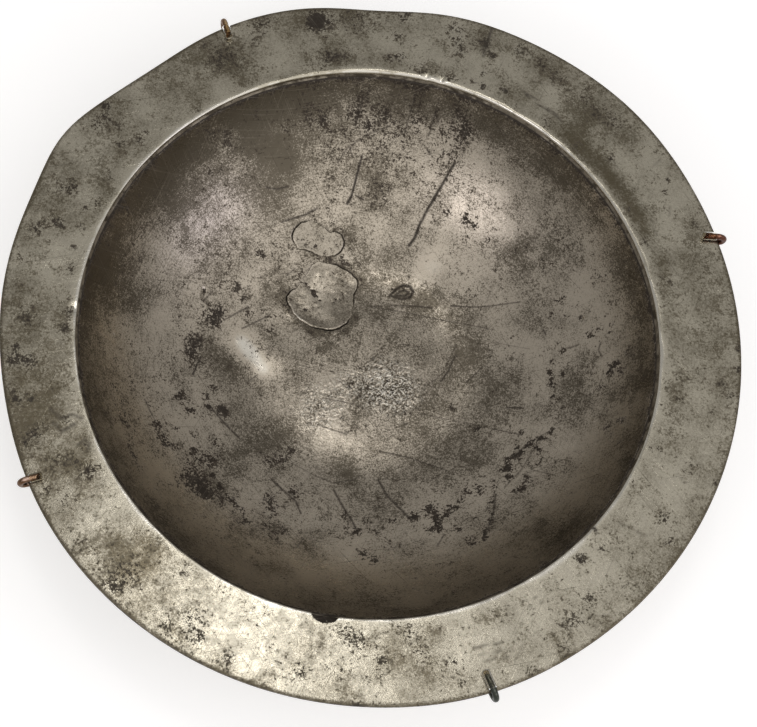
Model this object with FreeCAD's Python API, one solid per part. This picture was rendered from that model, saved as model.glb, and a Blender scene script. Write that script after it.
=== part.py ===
import FreeCAD, Part
import math
import os

# Deep pewter dish with a broad flat rim, two burned-in repairs and four wire clips on the rim's edge.
# Millimetres. The origin is the centre of the flat base, and +Z is up out of the bowl.

os.makedirs("parts", exist_ok=True)
Vector = FreeCAD.Vector
UP = Vector(0, 0, 1)

# ---------------------------------------------------------------- driving dimensions
RIM_RADIUS = 119.9          # mean outer radius of the rim, a nine and a half inch dish
LIP_RADIUS = 93.7           # inner edge of the rim
RIM_TOP = 44.0              # height of the rim's face above the base
RIM_THICKNESS = 2.2
RIM_EDGE_WEAR = 0.7         # rounding of the rim's outer edges
LIP_WEAR = 0.3              # rounding of the rim's inner edge

THROAT_RADIUS = 93.1        # top of the bowl's wall, just inside the rim's inner edge
FLOOR_RADIUS = 24.0         # level middle of the bowl's floor
METAL = 2.0                 # wall of the bowl
FOOT_RADIUS = 38.0          # flat base that the dish stands on
FLANGE_RADIUS = 101.0       # the bowl's turned-out flange, which the rim is soldered to
FLANGE_THICKNESS = 1.6
SOLDER_RISE = 1.3           # how far the solder climbs the rim's inner edge
SOLDER_HOLLOW = 0.09        # how far the solder's face sinks below a straight fillet
REPAIR_STANDS_PROUD = 0.35  # height of the repairs above the floor

WIRE_RADIUS = 1.0
SLEEVE_WALL = 0.35
SLEEVE_BARE = 0.4           # the sleeve is this much shorter than the wire's length over the rim
SLEEVE_NOSE = 0.9           # rounding of the sleeve's closed end
CLIP_GAP = 0.08             # space between a clip and the rim, above and below
BEND_SET_IN = 0.1           # the clip's bend is centred this far inside the rim's edge
LEG_LENGTH = 9.0            # straight leg under the rim
EYE_RADIUS = 2.4            # centre line of the eye that ends the leg
EYE_TURN = 305.0            # degrees of the eye's open loop

# The rim was never truly round, and knocks have flattened or pushed out parts of its edge.
OFF_CENTRE = (1.2, 14.0)    # millimetres, towards this azimuth
OVAL = (-0.45, 3.0)         # millimetres, along this azimuth
KNOCKS = (                  # azimuth, millimetres outwards, spread in degrees
    (57.0, 0.9, 14.0),
    (102.0, -2.7, 10.0),
    (141.0, -1.8, 10.0),
    (160.0, 2.4, 8.0),
    (205.0, -1.2, 16.0),
    (300.0, 0.7, 14.0),
)
OUTLINE_POINTS = 60

# The piece broken out of the rim's inner edge.
NICK_AZIMUTH = -85.3
NICK_HALF_WIDTH = 4.2
NICK_DEPTH = 2.4

# Outlines of the two repairs.
SMALL_PATCH = (
    (-34.6, 42.4), (-32.9, 46.7), (-28.9, 48.6), (-24.6, 48.2), (-22.4, 47.0), (-20.3, 48.1),
    (-17.6, 46.6), (-17.0, 43.2), (-18.8, 40.4), (-22.5, 38.9), (-27.2, 39.0), (-31.6, 38.9),
)
LARGE_PATCH = (
    (-25.2, 36.0), (-27.0, 31.4), (-28.4, 27.0), (-31.3, 22.2), (-29.6, 18.2), (-25.4, 15.2),
    (-19.6, 13.6), (-14.1, 13.9), (-10.2, 16.6), (-8.0, 21.6), (-9.0, 27.6), (-8.7, 33.0),
    (-12.6, 36.4), (-19.0, 37.6),
)

# Each clip: name, azimuth of its place on the rim, degrees its line turns from the radius, length over it.
CLIPS = (
    ("back_left", 127.5, -7.0, 4.9),
    ("back_right", 31.0, -20.0, 5.2),
    ("front_left", 219.5, -9.0, 4.5),
    ("front_right", 301.0, 5.0, 6.5),
)
# Facets filed on each clip's tip: degrees turned sideways, degrees tipped up, and how far back from the tip.
BEVELS = {
    "back_left": ((0, 35, 0.7), (-38, 10, 0.8)),
    "back_right": ((28, 0, 0.7), (0, 45, 0.8)),
    "front_left": ((0, 20, 0.5), (34, 20, 0.9)),
    "front_right": ((38, 12, 0.9), (-38, 12, 0.9)),
}

# ---------------------------------------------------------------- worked-out dimensions
LEDGE = RIM_TOP - RIM_THICKNESS
BOWL_RISE = LEDGE - METAL
BOWL_RUN = THROAT_RADIUS - FLOOR_RADIUS
BOWL_ARC = (BOWL_RUN**2 + BOWL_RISE**2) / (2 * BOWL_RISE)
CLIP_TOP = RIM_TOP + CLIP_GAP + SLEEVE_WALL + WIRE_RADIUS
CLIP_BOTTOM = LEDGE - CLIP_GAP - WIRE_RADIUS


def unit(azimuth):
    """Horizontal direction at an azimuth in degrees."""
    angle = math.radians(azimuth)
    return Vector(math.cos(angle), math.sin(angle), 0)


def rim_edge(azimuth):
    """Radius of the rim's knocked outer edge."""
    radius = RIM_RADIUS
    radius += OFF_CENTRE[0] * math.cos(math.radians(azimuth - OFF_CENTRE[1]))
    radius += OVAL[0] * math.cos(2 * math.radians(azimuth - OVAL[1]))
    for middle, push, spread in KNOCKS:
        away = (azimuth - middle + 180) % 360 - 180
        radius += push * math.exp(-((away / spread) ** 2))
    return radius


def smooth_outline(points):
    """Closed smooth wire through the points."""
    curve = Part.BSplineCurve()
    curve.interpolate(points, PeriodicFlag=True)
    return Part.Wire(curve.toShape())


def turned(edges):
    """Solid of revolution about Z from a closed profile in the XZ plane."""
    face = Part.Face(Part.Wire(Part.sortEdges(edges)[0]))
    return face.revolve(Vector(0, 0, 0), UP, 360)


def point(radius, height):
    return Vector(radius, 0, height)


def line(start, end):
    return Part.LineSegment(start, end).toShape()


def arc(start, middle, end):
    return Part.Arc(start, middle, end).toShape()


def bowl_arc_point(slope, offset=0.0):
    """Point on the bowl's wall where it slopes by this many degrees, moved outwards by the offset."""
    angle = math.radians(slope)
    reach = BOWL_ARC + offset
    return point(FLOOR_RADIUS + reach * math.sin(angle), METAL + BOWL_ARC - reach * math.cos(angle))


def bowl_profile(raised=0.0):
    """The bowl's section. Raised lifts its inside face, for the repairs that stand proud of it."""
    steepest = math.degrees(math.asin(BOWL_RUN / BOWL_ARC))
    lift = UP * raised
    centre = point(0, METAL) + lift
    floor_edge = point(FLOOR_RADIUS, METAL) + lift
    throat = point(THROAT_RADIUS, LEDGE) + lift
    flange_top = point(FLANGE_RADIUS, LEDGE) + lift
    flange_under = point(FLANGE_RADIUS, LEDGE - FLANGE_THICKNESS)
    under_slope = math.degrees(math.acos((METAL + BOWL_ARC - flange_under.z) / (BOWL_ARC + METAL)))
    foot_slope = math.degrees(math.asin((FOOT_RADIUS - FLOOR_RADIUS) / (BOWL_ARC + METAL)))
    wall_top_outside = bowl_arc_point(under_slope, METAL)
    foot = point(FOOT_RADIUS, 0)
    return [
        line(centre, floor_edge),
        arc(floor_edge, bowl_arc_point(steepest / 2) + lift, throat),
        line(throat, flange_top),
        line(flange_top, flange_under),
        line(flange_under, wall_top_outside),
        arc(wall_top_outside, bowl_arc_point((under_slope + foot_slope) / 2, METAL), foot),
        line(foot, point(0, 0)),
        line(point(0, 0), centre),
    ]


def column(points):
    """Upright column with a smooth outline, through the whole height of the bowl."""
    wire = smooth_outline([Vector(x, y, -1) for x, y in points])
    return Part.Face(wire).extrude(UP * RIM_TOP)


def make_nick():
    """Rounded bite, taken through the rim's inner edge and the solder below it."""
    middle = unit(NICK_AZIMUTH) * LIP_RADIUS + UP * LEDGE
    ellipse = Part.Ellipse(Vector(0, 0, 0), NICK_HALF_WIDTH, NICK_DEPTH)
    bite = Part.Face(Part.Wire(ellipse.toShape())).extrude(UP * (2 * RIM_THICKNESS))
    bite.rotate(Vector(0, 0, 0), UP, NICK_AZIMUTH - 90)
    bite.translate(middle)
    return bite


def make_rim(nick):
    """Flat ring with the knocked outline outside and the round lip inside."""
    step = 360 / OUTLINE_POINTS
    outline = [unit(i * step) * rim_edge(i * step) + UP * LEDGE for i in range(OUTLINE_POINTS)]
    plate = Part.Face(smooth_outline(outline)).extrude(UP * RIM_THICKNESS)
    hole = Part.makeCylinder(LIP_RADIUS, RIM_THICKNESS, UP * LEDGE)
    outer_edges = [edge for edge in plate.Edges if edge.Closed and edge.Length > 2 * math.pi * LIP_RADIUS]
    plate = plate.makeFillet(RIM_EDGE_WEAR, outer_edges)
    ring = plate.cut(hole)
    lip = [edge for edge in ring.Edges if is_lip(edge)]
    return ring.makeFillet(LIP_WEAR, lip).cut(nick)


def is_lip(edge):
    """True for the upper edge of the rim's inner face."""
    round_edge = hasattr(edge.Curve, "Radius") and abs(edge.Curve.Radius - LIP_RADIUS) < 1e-6
    return round_edge and abs(edge.Curve.Center.z - RIM_TOP) < 1e-6


def make_solder(nick):
    """Hollow fillet of solder on the ledge between the bowl's throat and the rim's inner edge."""
    corner = point(LIP_RADIUS, LEDGE)
    inside = point(THROAT_RADIUS, LEDGE)
    top = point(LIP_RADIUS, LEDGE + SOLDER_RISE)
    towards_corner = Vector(SOLDER_RISE, 0, inside.x - corner.x).normalize()
    sag = (inside + top) * 0.5 + towards_corner * SOLDER_HOLLOW
    return turned([line(inside, corner), line(corner, top), arc(top, sag, inside)]).cut(nick)


def wire_run(start, length):
    """Straight round wire along -X from the start."""
    return Part.makeCylinder(WIRE_RADIUS, length, start, Vector(-1, 0, 0))


def wire_turn(start, facing, centre, axis, degrees):
    """Round wire bent about an axis, from a start point where it faces along a direction."""
    section = Part.Face(Part.Wire(Part.Circle(start, facing, WIRE_RADIUS).toShape()))
    return section.revolve(centre, axis, degrees)


def filed_tip(reach, bevels):
    """What is filed off a clip's tip: one wide block outside each facet."""
    width = 8 * WIRE_RADIUS
    blocks = []
    for turn, tip, set_back in bevels:
        side = math.radians(turn)
        rise = math.radians(tip)
        normal = Vector(-math.cos(side) * math.cos(rise), math.sin(side) * math.cos(rise), math.sin(rise))
        facet = Vector(-reach + set_back, 0, CLIP_TOP)
        block = Part.makeBox(width, width, width, Vector(-width / 2, -width / 2, 0))
        block.Placement = FreeCAD.Placement(facet, FreeCAD.Rotation(UP, normal))
        blocks.append(block)
    return blocks


def make_clip(name, azimuth, skew, over_rim):
    """Clip wire and its sleeve, modelled along X at the rim's edge and then turned to their place."""
    bend_top = Vector(-BEND_SET_IN, 0, CLIP_TOP)
    bend_bottom = Vector(-BEND_SET_IN, 0, CLIP_BOTTOM)
    bend_centre = (bend_top + bend_bottom) * 0.5
    leg_end = bend_bottom - Vector(LEG_LENGTH, 0, 0)
    wire = wire_run(bend_top, over_rim - BEND_SET_IN)
    for block in filed_tip(over_rim, BEVELS[name]):
        wire = wire.cut(block)
    bend = wire_turn(bend_top, Vector(1, 0, 0), bend_centre, Vector(0, 1, 0), 180)
    leg = wire_run(bend_bottom, LEG_LENGTH)
    eye = wire_turn(leg_end, Vector(-1, 0, 0), leg_end + Vector(0, EYE_RADIUS, 0), Vector(0, 0, -1), EYE_TURN)
    wire = wire.fuse([bend, leg, eye]).removeSplitter()

    sleeve_end = Vector(-over_rim - SLEEVE_WALL, 0, CLIP_TOP)
    sleeve_length = over_rim - SLEEVE_BARE
    sleeve = Part.makeCylinder(WIRE_RADIUS + SLEEVE_WALL, sleeve_length, sleeve_end, Vector(1, 0, 0))
    closed_end = [edge for edge in sleeve.Edges if edge.BoundBox.XMax < -over_rim]
    sleeve = sleeve.makeFillet(SLEEVE_NOSE, closed_end).cut(wire)

    place = FreeCAD.Placement(unit(azimuth) * rim_edge(azimuth), FreeCAD.Rotation(UP, azimuth + skew))
    for piece in (wire, sleeve):
        piece.Placement = place.multiply(piece.Placement)
    return wire, sleeve


def save(name, shape):
    """Write one sub-part, and stop if it isn't one valid solid."""
    if len(shape.Solids) != 1 or not shape.isValid():
        raise RuntimeError(f"{name}: {len(shape.Solids)} solids, valid {shape.isValid()}")
    solid = shape.Solids[0]
    solid.exportStep(f"parts/{name}.step")
    print(name, round(solid.Volume, 1), "mm3")


nick = make_nick()
small_column = column(SMALL_PATCH)
large_column = column(LARGE_PATCH)
proud_bowl = turned(bowl_profile(REPAIR_STANDS_PROUD))

save("bowl_shell", turned(bowl_profile()).cut([small_column, large_column]))
save("rim_ring", make_rim(nick))
save("seam_solder", make_solder(nick))
save("patch_small", proud_bowl.common(small_column))
save("patch_large", proud_bowl.common(large_column))
for clip in CLIPS:
    wire, sleeve = make_clip(*clip)
    save(f"clip_wire_{clip[0]}", wire)
    save(f"clip_sleeve_{clip[0]}", sleeve)
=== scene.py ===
import math

import bmesh
import bpy
import numpy as np
from mathutils import Matrix, Vector


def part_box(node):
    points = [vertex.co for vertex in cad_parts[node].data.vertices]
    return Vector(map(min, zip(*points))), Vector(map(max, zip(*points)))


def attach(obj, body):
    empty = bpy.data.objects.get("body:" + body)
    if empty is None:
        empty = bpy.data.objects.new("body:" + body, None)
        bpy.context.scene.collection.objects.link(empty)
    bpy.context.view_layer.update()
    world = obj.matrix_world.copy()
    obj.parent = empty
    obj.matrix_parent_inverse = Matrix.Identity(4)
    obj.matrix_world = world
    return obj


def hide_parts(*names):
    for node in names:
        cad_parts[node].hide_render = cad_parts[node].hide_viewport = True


# Worn pewter dish with a broad rim, two old repairs in the bowl and four sleeved wire clips on the rim.
# Shapes are worked out in millimetres in the CAD frame and become metres when a mesh is made.

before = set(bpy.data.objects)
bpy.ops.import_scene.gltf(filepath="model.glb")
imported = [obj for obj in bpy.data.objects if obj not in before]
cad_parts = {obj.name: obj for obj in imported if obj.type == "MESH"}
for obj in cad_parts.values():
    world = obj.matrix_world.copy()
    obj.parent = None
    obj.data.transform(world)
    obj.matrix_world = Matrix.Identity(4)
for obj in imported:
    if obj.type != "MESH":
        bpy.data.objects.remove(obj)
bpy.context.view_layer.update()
MM = 0.001

# ---------------------------------------------------------------- sizes shared with the CAD model
RIM_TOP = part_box("rim_ring")[1].z / MM
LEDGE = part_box("rim_ring")[0].z / MM
RIM_RADIUS = 119.9
LIP_RADIUS = 93.7
OFF_CENTRE = (1.2, 14.0)
OVAL = (-0.45, 3.0)
KNOCKS = ((57, 0.9, 14), (102, -2.7, 10), (141, -1.8, 10), (160, 2.4, 8), (205, -1.2, 16), (300, 0.7, 14))
NICK_AZIMUTH = -85.3
NICK_ALONG = (-4.2, -3.8, -2.9, -0.6, 0.5, 2.6, 3.5, 3.9)
NICK_DEEP = (0.0, 1.2, 1.9, 2.6, 2.4, 1.9, 1.3, 0.0)

METAL = 2.0
THROAT_RADIUS = 93.1
FLOOR_RADIUS = 24.0
FOOT_RADIUS = 38.0
FLANGE_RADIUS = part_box("bowl_shell")[1].x / MM
FLANGE_THICKNESS = 1.6
BOWL_ARC = ((THROAT_RADIUS - FLOOR_RADIUS) ** 2 + (LEDGE - METAL) ** 2) / (2 * (LEDGE - METAL))
WALL_TURN = math.asin((THROAT_RADIUS - FLOOR_RADIUS) / BOWL_ARC)

WIRE_RADIUS = 1.0
SLEEVE_WALL = 0.35
CLIP_GAP = 0.08
CLIP_TOP = RIM_TOP + CLIP_GAP + SLEEVE_WALL + WIRE_RADIUS
CLIP_BOTTOM = LEDGE - CLIP_GAP - WIRE_RADIUS
BEND_SET_IN = 0.1
LEG_LENGTH = 9.0
EYE_RADIUS = 2.4
EYE_TURN = 305
# Each clip: azimuth on the rim, degrees its line turns from the radius, length over the rim, tip facets.
CLIPS = {
    "back_left": (127.5, -7, 4.9, ((0, 35, 0.7), (-38, 10, 0.8))),
    "back_right": (31.0, -20, 5.2, ((28, 0, 0.7), (0, 45, 0.8))),
    "front_left": (219.5, -9, 4.5, ((0, 20, 0.5), (34, 20, 0.9))),
    "front_right": (301.0, 5, 6.5, ((38, 12, 0.9), (-38, 12, 0.9))),
}
SMALL_PATCH = (
    (-34.6, 42.4), (-32.9, 46.7), (-28.9, 48.6), (-24.6, 48.2), (-22.4, 47.0), (-20.3, 48.1),
    (-17.6, 46.6), (-17.0, 43.2), (-18.8, 40.4), (-22.5, 38.9), (-27.2, 39.0), (-31.6, 38.9),
)
LARGE_PATCH = (
    (-25.2, 36.0), (-27.0, 31.4), (-28.4, 27.0), (-31.3, 22.2), (-29.6, 18.2), (-25.4, 15.2),
    (-19.6, 13.6), (-14.1, 13.9), (-10.2, 16.6), (-8.0, 21.6), (-9.0, 27.6), (-8.7, 33.0),
    (-12.6, 36.4), (-19.0, 37.6),
)

# ---------------------------------------------------------------- wear, in millimetres seen from above
# Scratches in the bowl: darkness, half width, then the points that the line follows.
BOWL_SCRATCHES = (
    (1, 0.30, (-18, 72), (-18.2, 60), (-19, 57.5)),
    (0.8, 0.20, (-17, 60.7), (-14, 60.2)),
    (1, 0.36, (13.4, 76.5), (10.4, 68), (8.4, 62.5), (6.9, 57), (6.5, 53), (5.2, 50)),
    (0.8, 0.25, (-28.6, 53), (-32.4, 49.5), (-36.3, 47), (-39, 45)),
    (0.7, 0.22, (-40, 56), (-43, 54), (-47, 53)),
    (0.6, 0.18, (-25.5, 68), (-23.5, 72.5), (-18, 78), (-11, 82)),
    (0.6, 0.22, (-21, 71), (-23, 73.4)),
    (0.6, 0.16, (-3, 26), (11, 27.3), (30, 27.7), (40, 27.2)),
    (0.7, 0.20, (4, 28.5), (12, 30.2), (18, 31)),
    (0.8, 0.20, (24, 33), (34, 34.3), (46.5, 37.5)),
    (0.9, 0.35, (3, 31.8), (4.4, 34.6), (6.5, 36.4), (8.8, 36.6), (10.4, 35), (9.8, 32.8), (7, 31.6),
     (3, 31.8)),
    (0.8, 0.30, (4.8, 32.4), (6, 34.2), (7.8, 35), (8.9, 34.4), (8, 33), (4.8, 32.4)),
    (0.7, 0.20, (-3, 26.2), (1, 27.2)),
    (0.5, 0.16, (36, 40), (35.6, 36)),
    (0.8, 0.25, (29.5, 16), (28.5, 10), (26.8, 5.5)),
    (0.6, 0.16, (29, 20), (27, 9), (23, 3)),
    (0.7, 0.18, (39.5, 14), (35.3, 7.3)),
    (0.6, 0.18, (10.5, 15.2), (17, 16)),
    (0.8, 0.20, (-43, 14), (-49.5, 6.5)),
    (0.8, 0.20, (-36, 13), (-43, 6)),
    (0.7, 0.18, (-56, 14), (-57.5, 10)),
    (0.7, 0.20, (-31, 32), (-33, 29)),
    (0.5, 0.14, (22, -7.5), (37, -7), (47, -7.8)),
    (0.8, 0.18, (47, -7.8), (56.5, -8.8)),
    (0.7, 0.20, (12, -24), (22, -23.7), (30, -24.7), (35, -25.5)),
    (0.9, 0.28, (-47, -24.5), (-40, -29), (-34, -32.5)),
    (0.9, 0.28, (-20, -44), (-10.5, -49.5), (-8, -53.5)),
    (0.7, 0.18, (-9.5, -10.5), (0, -10)),
    (0.6, 0.16, (-10, -20.3), (0, -21)),
    (0.9, 0.28, (0.5, -41.5), (5, -47), (8.5, -51), (11, -54.5)),
    (0.9, 0.34, (14, -34), (18, -39), (22, -42), (27, -46)),
    (0.7, 0.20, (0, -39), (6, -36), (8, -34)),
    (0.7, 0.20, (39, -50), (37.5, -55)),
    (0.7, 0.20, (-37, -12.5), (-34, -8)),
    (1, 0.24, (50.5, 0.5), (55.5, 1)),
    (0.8, 0.22, (56, 29), (57.3, 27.3)),
    (1, 0.26, (-53.5, -9), (-54.3, -16)),
    (0.8, 0.24, (52.5, -32), (53, -38), (52, -48)),
    (0.7, 0.20, (-66, -32.5), (-63.5, -35.5)),
    (0.6, 0.16, (-63, -36), (-58, -41)),
    (0.7, 0.22, (53, -19), (57.5, -14.5), (62, -9.5), (66.5, -6)),
    (0.6, 0.20, (55, -29), (59, -22), (62, -13), (64, -9)),
    (0.6, 0.16, (62, -21.5), (69, -23)),
    (0.6, 0.16, (-14, -36), (-7, -38), (0, -39)),
    (0.6, 0.18, (-28, -59), (-37, -54)),
    (0.6, 0.16, (-6.5, -67), (-5, -62.5)),
    (0.5, 0.14, (43, 22.8), (53, 22)),
    (0.8, 0.20, (63.5, 22.5), (66, 23), (68.5, 24)),
    (0.7, 0.22, (75, 24.5), (74.8, 22), (76.3, 19.5)),
    (0.8, 0.24, (-22.4, 80), (-22, 86)),
    (0.7, 0.22, (-5.6, 81), (-5.2, 90)),
    (0.7, 0.22, (2.6, 82), (3, 90)),
    (0.7, 0.22, (3, 78.8), (4.6, 77.6)),
)
# Dark oxide in the bowl: x, y, radius, strength.
BOWL_STAINS = (
    (-44, -54, 5.2, 1), (-39, -57, 3.4, 0.8), (-33, -57, 3.2, 0.6), (-28, -58.5, 2.4, 0.6),
    (-51.5, -29, 1.9, 1), (-56, -25.5, 2.3, 0.8), (-47, -29, 1.6, 0.8), (-48, -22, 1.8, 0.9),
    (-47, -18, 1.8, 0.9), (-43, -24.5, 2.2, 0.8), (-41, -25, 2.4, 0.9), (-45, -45, 3.4, 0.8),
    (-40, -43, 2.6, 0.7), (-48, -37, 1.5, 0.7), (-42, -37, 1.8, 0.7), (-60, -39, 2.2, 0.7),
    (-56, -44, 2.2, 0.7), (-53, -44, 1.6, 0.7), (-19, -35, 3.4, 0.8), (-16, -31, 1.8, 0.7),
    (-23, -38, 2.2, 0.6), (-12, -46.5, 2.2, 0.9), (-19, -52, 2.8, 0.8), (-17, -56, 2.6, 0.8),
    (-18, -62, 2.4, 0.7), (-25, -62, 2.2, 0.7), (-12, -61.5, 2.2, 0.6), (-15, -66, 3, 0.5),
    (-56.5, -5, 3, 0.9), (-57.5, -9, 2, 0.8), (-53, 6, 3.6, 0.8), (-51, 9, 2.4, 0.7),
    (-54, -12, 2.8, 0.5), (-42, 12, 2.2, 0.7), (-36, 13, 2, 0.6), (-33, 9, 1.8, 0.6),
    (-48.5, 19, 1.7, 0.8), (-45, 16.5, 1.4, 0.7), (-43, 32.3, 1.8, 0.7), (-47, 35, 1.3, 0.6),
    (28, -45, 2.1, 1), (13, -50, 1.7, 0.8), (11.5, -55, 2, 0.8), (17, -53, 1.6, 0.6), (16, -44, 1.6, 0.6),
    (6, -50, 1.8, 0.7), (33, -41, 2.4, 0.9), (36, -43, 1.6, 0.7), (35, -49, 2.4, 0.8),
    (22, -48, 1.6, 0.8), (24, -58, 2.2, 0.7), (15, -63, 2, 0.8), (19, -65, 1.8, 0.8),
    (56, -17.5, 2.4, 0.9), (60, -12, 1.6, 0.7), (55, -22, 1.5, 0.9), (55.5, -25, 1.9, 0.9),
    (61, -26, 2, 0.8), (43, -32, 1.7, 0.8), (47.5, -31.5, 1.8, 0.9), (42, -36, 1.3, 0.7),
    (52, -36, 2, 0.6), (52, -44, 2.2, 0.7), (48, -51.5, 2.2, 0.7), (43, -47.5, 1.6, 0.7),
    (32.5, -2.5, 1.3, 0.8), (42.5, -8.7, 1.5, 0.9), (57, -8, 1.3, 0.8), (3.5, 34, 1.2, 0.7),
    (6.5, 35.5, 1.1, 0.6), (9.5, 34, 1.2, 0.6), (22, 61.5, 2.2, 0.8), (25.5, 59.8, 1.3, 0.7),
    (17, 62.8, 1.3, 0.5), (50.5, 51, 0.8, 0.9), (51.7, 48.5, 0.7, 0.9), (53.5, 42.5, 0.8, 0.9),
    (62, 14, 1.2, 0.6), (61.5, 18, 1, 0.7), (64, 17.5, 1.1, 0.7), (63, 10, 1.2, 0.6), (64, 6, 1, 0.5),
    (65.5, 13.5, 0.9, 0.6), (71, 27, 1.7, 0.7), (80, 16, 1.6, 0.6), (83, 14, 2.2, 0.6),
    (83, 20, 1.8, 0.5), (-88, 24, 1.8, 0.7), (-77, 27, 1.3, 0.6), (-66, 49, 1.2, 0.6),
    (-80, 12, 1.2, 0.6), (-63, 60, 2.4, 0.7), (-68, 58, 1.8, 0.7), (-55, 70, 1.8, 0.5), (-45, 71, 3, 0.6),
    (-38, 76, 3.4, 0.55), (-33, 77, 2.2, 0.5), (-24, 82, 3.2, 0.6), (-21, 87, 3.2, 0.5),
    (-18, 80, 2, 0.6), (-14, 84, 2.2, 0.5), (-4, 90, 4, 0.5), (-2, 84, 2.2, 0.5), (13, 86, 3, 0.55),
    (15, 84.5, 1.8, 0.6), (10, 89, 2, 0.5), (3, 87, 1.6, 0.6), (-10, 64, 4, 0.4), (-8, 76, 9, 0.3),
    (12, 79, 8, 0.3), (-30, 70, 8, 0.25), (14.5, 62, 2, 0.6), (82, -6, 1.2, 0.7), (86, -4, 1.4, 0.6),
    (87, -12, 1, 0.7), (67, 33, 0.9, 1.2), (57.5, 34.8, 1, 0.8), (58.3, 38.5, 0.8, 0.8),
    (60.3, 39.5, 0.8, 0.9), (58, 32.6, 0.8, 0.7), (62.8, 33, 0.8, 0.8), (44, 55.3, 0.9, 0.9),
    (31, 56, 1, 0.8), (41, 53.5, 1.5, 0.7), (73.7, 29, 0.9, 0.9), (77, 30, 0.8, 0.9),
    (76.8, 27.3, 0.9, 0.8), (65.7, 27.2, 0.8, 0.8), (67.8, 2, 0.8, 0.8), (64, 21.8, 1.2, 1),
    (61, 14.5, 0.9, 1), (65.8, 13.8, 0.9, 1), (62.2, 12, 0.8, 1), (62.7, 10.1, 0.8, 1.1),
    (64, 8.6, 0.8, 1), (64.3, 6, 0.7, 1.1), (66.2, 5.3, 0.7, 0.9), (64.2, 3.4, 0.6, 1),
    (79.5, 14.2, 0.9, 1), (78.2, 9, 1.1, 0.9), (81.2, 16.8, 1, 1), (-58.2, 13.6, 0.8, 1.3),
    (1, -64, 2, 0.3), (47, 65, 1.4, 0.4), (70, 46, 2.6, 0.4),
)
# Bands of dark flecks in the bowl: strength, half width, then the points that the band follows.
BOWL_FLECKS = (
    (0.9, 1.1, (56, -14), (58, -14), (60, -11.5), (62, -10.5), (64.5, -9), (66, -6)),
    (1, 1.8, (53.5, -18.8), (56.5, -17), (58, -15.5)),
    (0.9, 1.2, (54, -20), (55.5, -22), (53, -23), (56, -25.5)),
    (0.9, 1.4, (61, -24), (62, -26.5), (60, -29), (58, -30.5)),
    (0.8, 1, (50.5, -26), (51.5, -29.5), (52, -33.5), (51, -38), (53, -42)),
    (0.9, 1.2, (52.5, -40), (52.5, -46), (51.5, -49.5), (48, -52)),
    (0.9, 1, (46.5, -30), (48, -33)),
    (0.8, 1, (42, -32.5), (45, -31.8)),
    (0.9, 1.2, (62, -11), (63.5, -14)),
    (0.7, 0.9, (61, -17), (61, -21), (64.5, -19.5), (64, -16)),
    (0.9, 1.8, (32, -41), (35, -42), (36, -45), (37, -49)),
    (0.7, 1.4, (34, -49), (38, -49.5)),
    (0.7, 1.6, (36.5, -39), (41, -39), (38, -42)),
    (0.7, 1.2, (46, -49.5), (49, -50.5), (47, -52.5)),
    (0.8, 1.1, (-58.5, -44), (-57, -42), (-56, -46)),
    (0.8, 1.1, (-53, -43), (-52, -44.5)),
    (0.9, 1.4, (-49, -43), (-45, -43), (-42, -45), (-40, -47), (-39, -49.5)),
    (0.8, 1.3, (-36, -52), (-34.5, -54.5), (-30, -57), (-27, -59)),
    (0.9, 1.1, (-48.5, -21), (-48, -24.5), (-45, -26)),
    (0.5, 1.3, (-76, -33), (-73, -37), (-70, -43), (-66.5, -46), (-64, -54), (-61, -59)),
    (0.6, 1.2, (-55, -38), (-52, -37)),
    (0.7, 1.2, (-26, -35), (-22, -37), (-24, -38)),
)
# Broad soft painted shade in the bowl, standing in for the light off its dents and partly its own mottling:
# x, y, radius, strength. Below zero it is a painted highlight.
BOWL_SHADE_AND_HIGHLIGHT = (
    (-50, -5, 7, 0.8), (-40, -25, 6, 0.5), (-31, -28, 8, 0.7), (-33, -41, 6, 0.6), (-18, -24, 6, 0.5),
    (19, 34, 7, 0.7), (40, 54, 7, 0.6), (46, 47, 6, 0.5), (51, 33, 6, 0.6), (45, 5, 7, 0.7),
    (36, 17, 8, 0.7), (52, 10, 5, 0.5), (46, -2, 5, 0.5), (45, -18, 8, 0.8), (39, -33, 5, 0.4),
    (24, -28, 6, 0.5), (3, -33, 7, 0.5), (29, -59, 7, 0.5), (-36, -52, 7, 0.5), (-12, 47, 6, 0.4),
    (70, 14, 6, 0.6), (72, 2, 6, 0.5), (68, -45, 12, 0.6), (0, -62, 9, 0.5), (-17, -64, 6, 0.5),
    (-11, 64, 5, 0.5), (3, 47, 4, 0.5), (-42, 1.5, 4.5, -1.2), (-37, -2, 4.5, -1.4), (-32, -6, 4, -1.2),
    (-15, 41, 3, -1.2), (14, 43, 8, -1), (26, 42, 6, -0.5), (-58, -60, 9, -0.2), (55, 20, 6, -0.5),
    (56, -6, 6, -0.3), (8, -66, 7, -0.6), (68, -34, 5, -0.5), (-5, 54, 4, -0.4), (-46, 64, 17, 1.6),
    (-74, 40, 14, 1.3), (0, 40, 11, 0.5), (7, 34, 3.5, 0.9), (2, -24, 8, -0.4), (38, -44, 9, -0.3),
    (64, 38, 10, -0.4), (22, 13, 9, 0.3), (30, 22, 10, 0.3), (-88, 0, 12, 1), (-12, -20, 6, 0.25),
    (74, 48, 9, 0.4), (45, 76, 9, 0.4), (70, 20, 4, 0.6), (69, 8, 5, 0.5), (84, 8, 6, 0.5),
    (-4, 68, 16, 0.35), (57, 8, 4, -0.2), (-8, -54, 5, -0.4),
)
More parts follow.
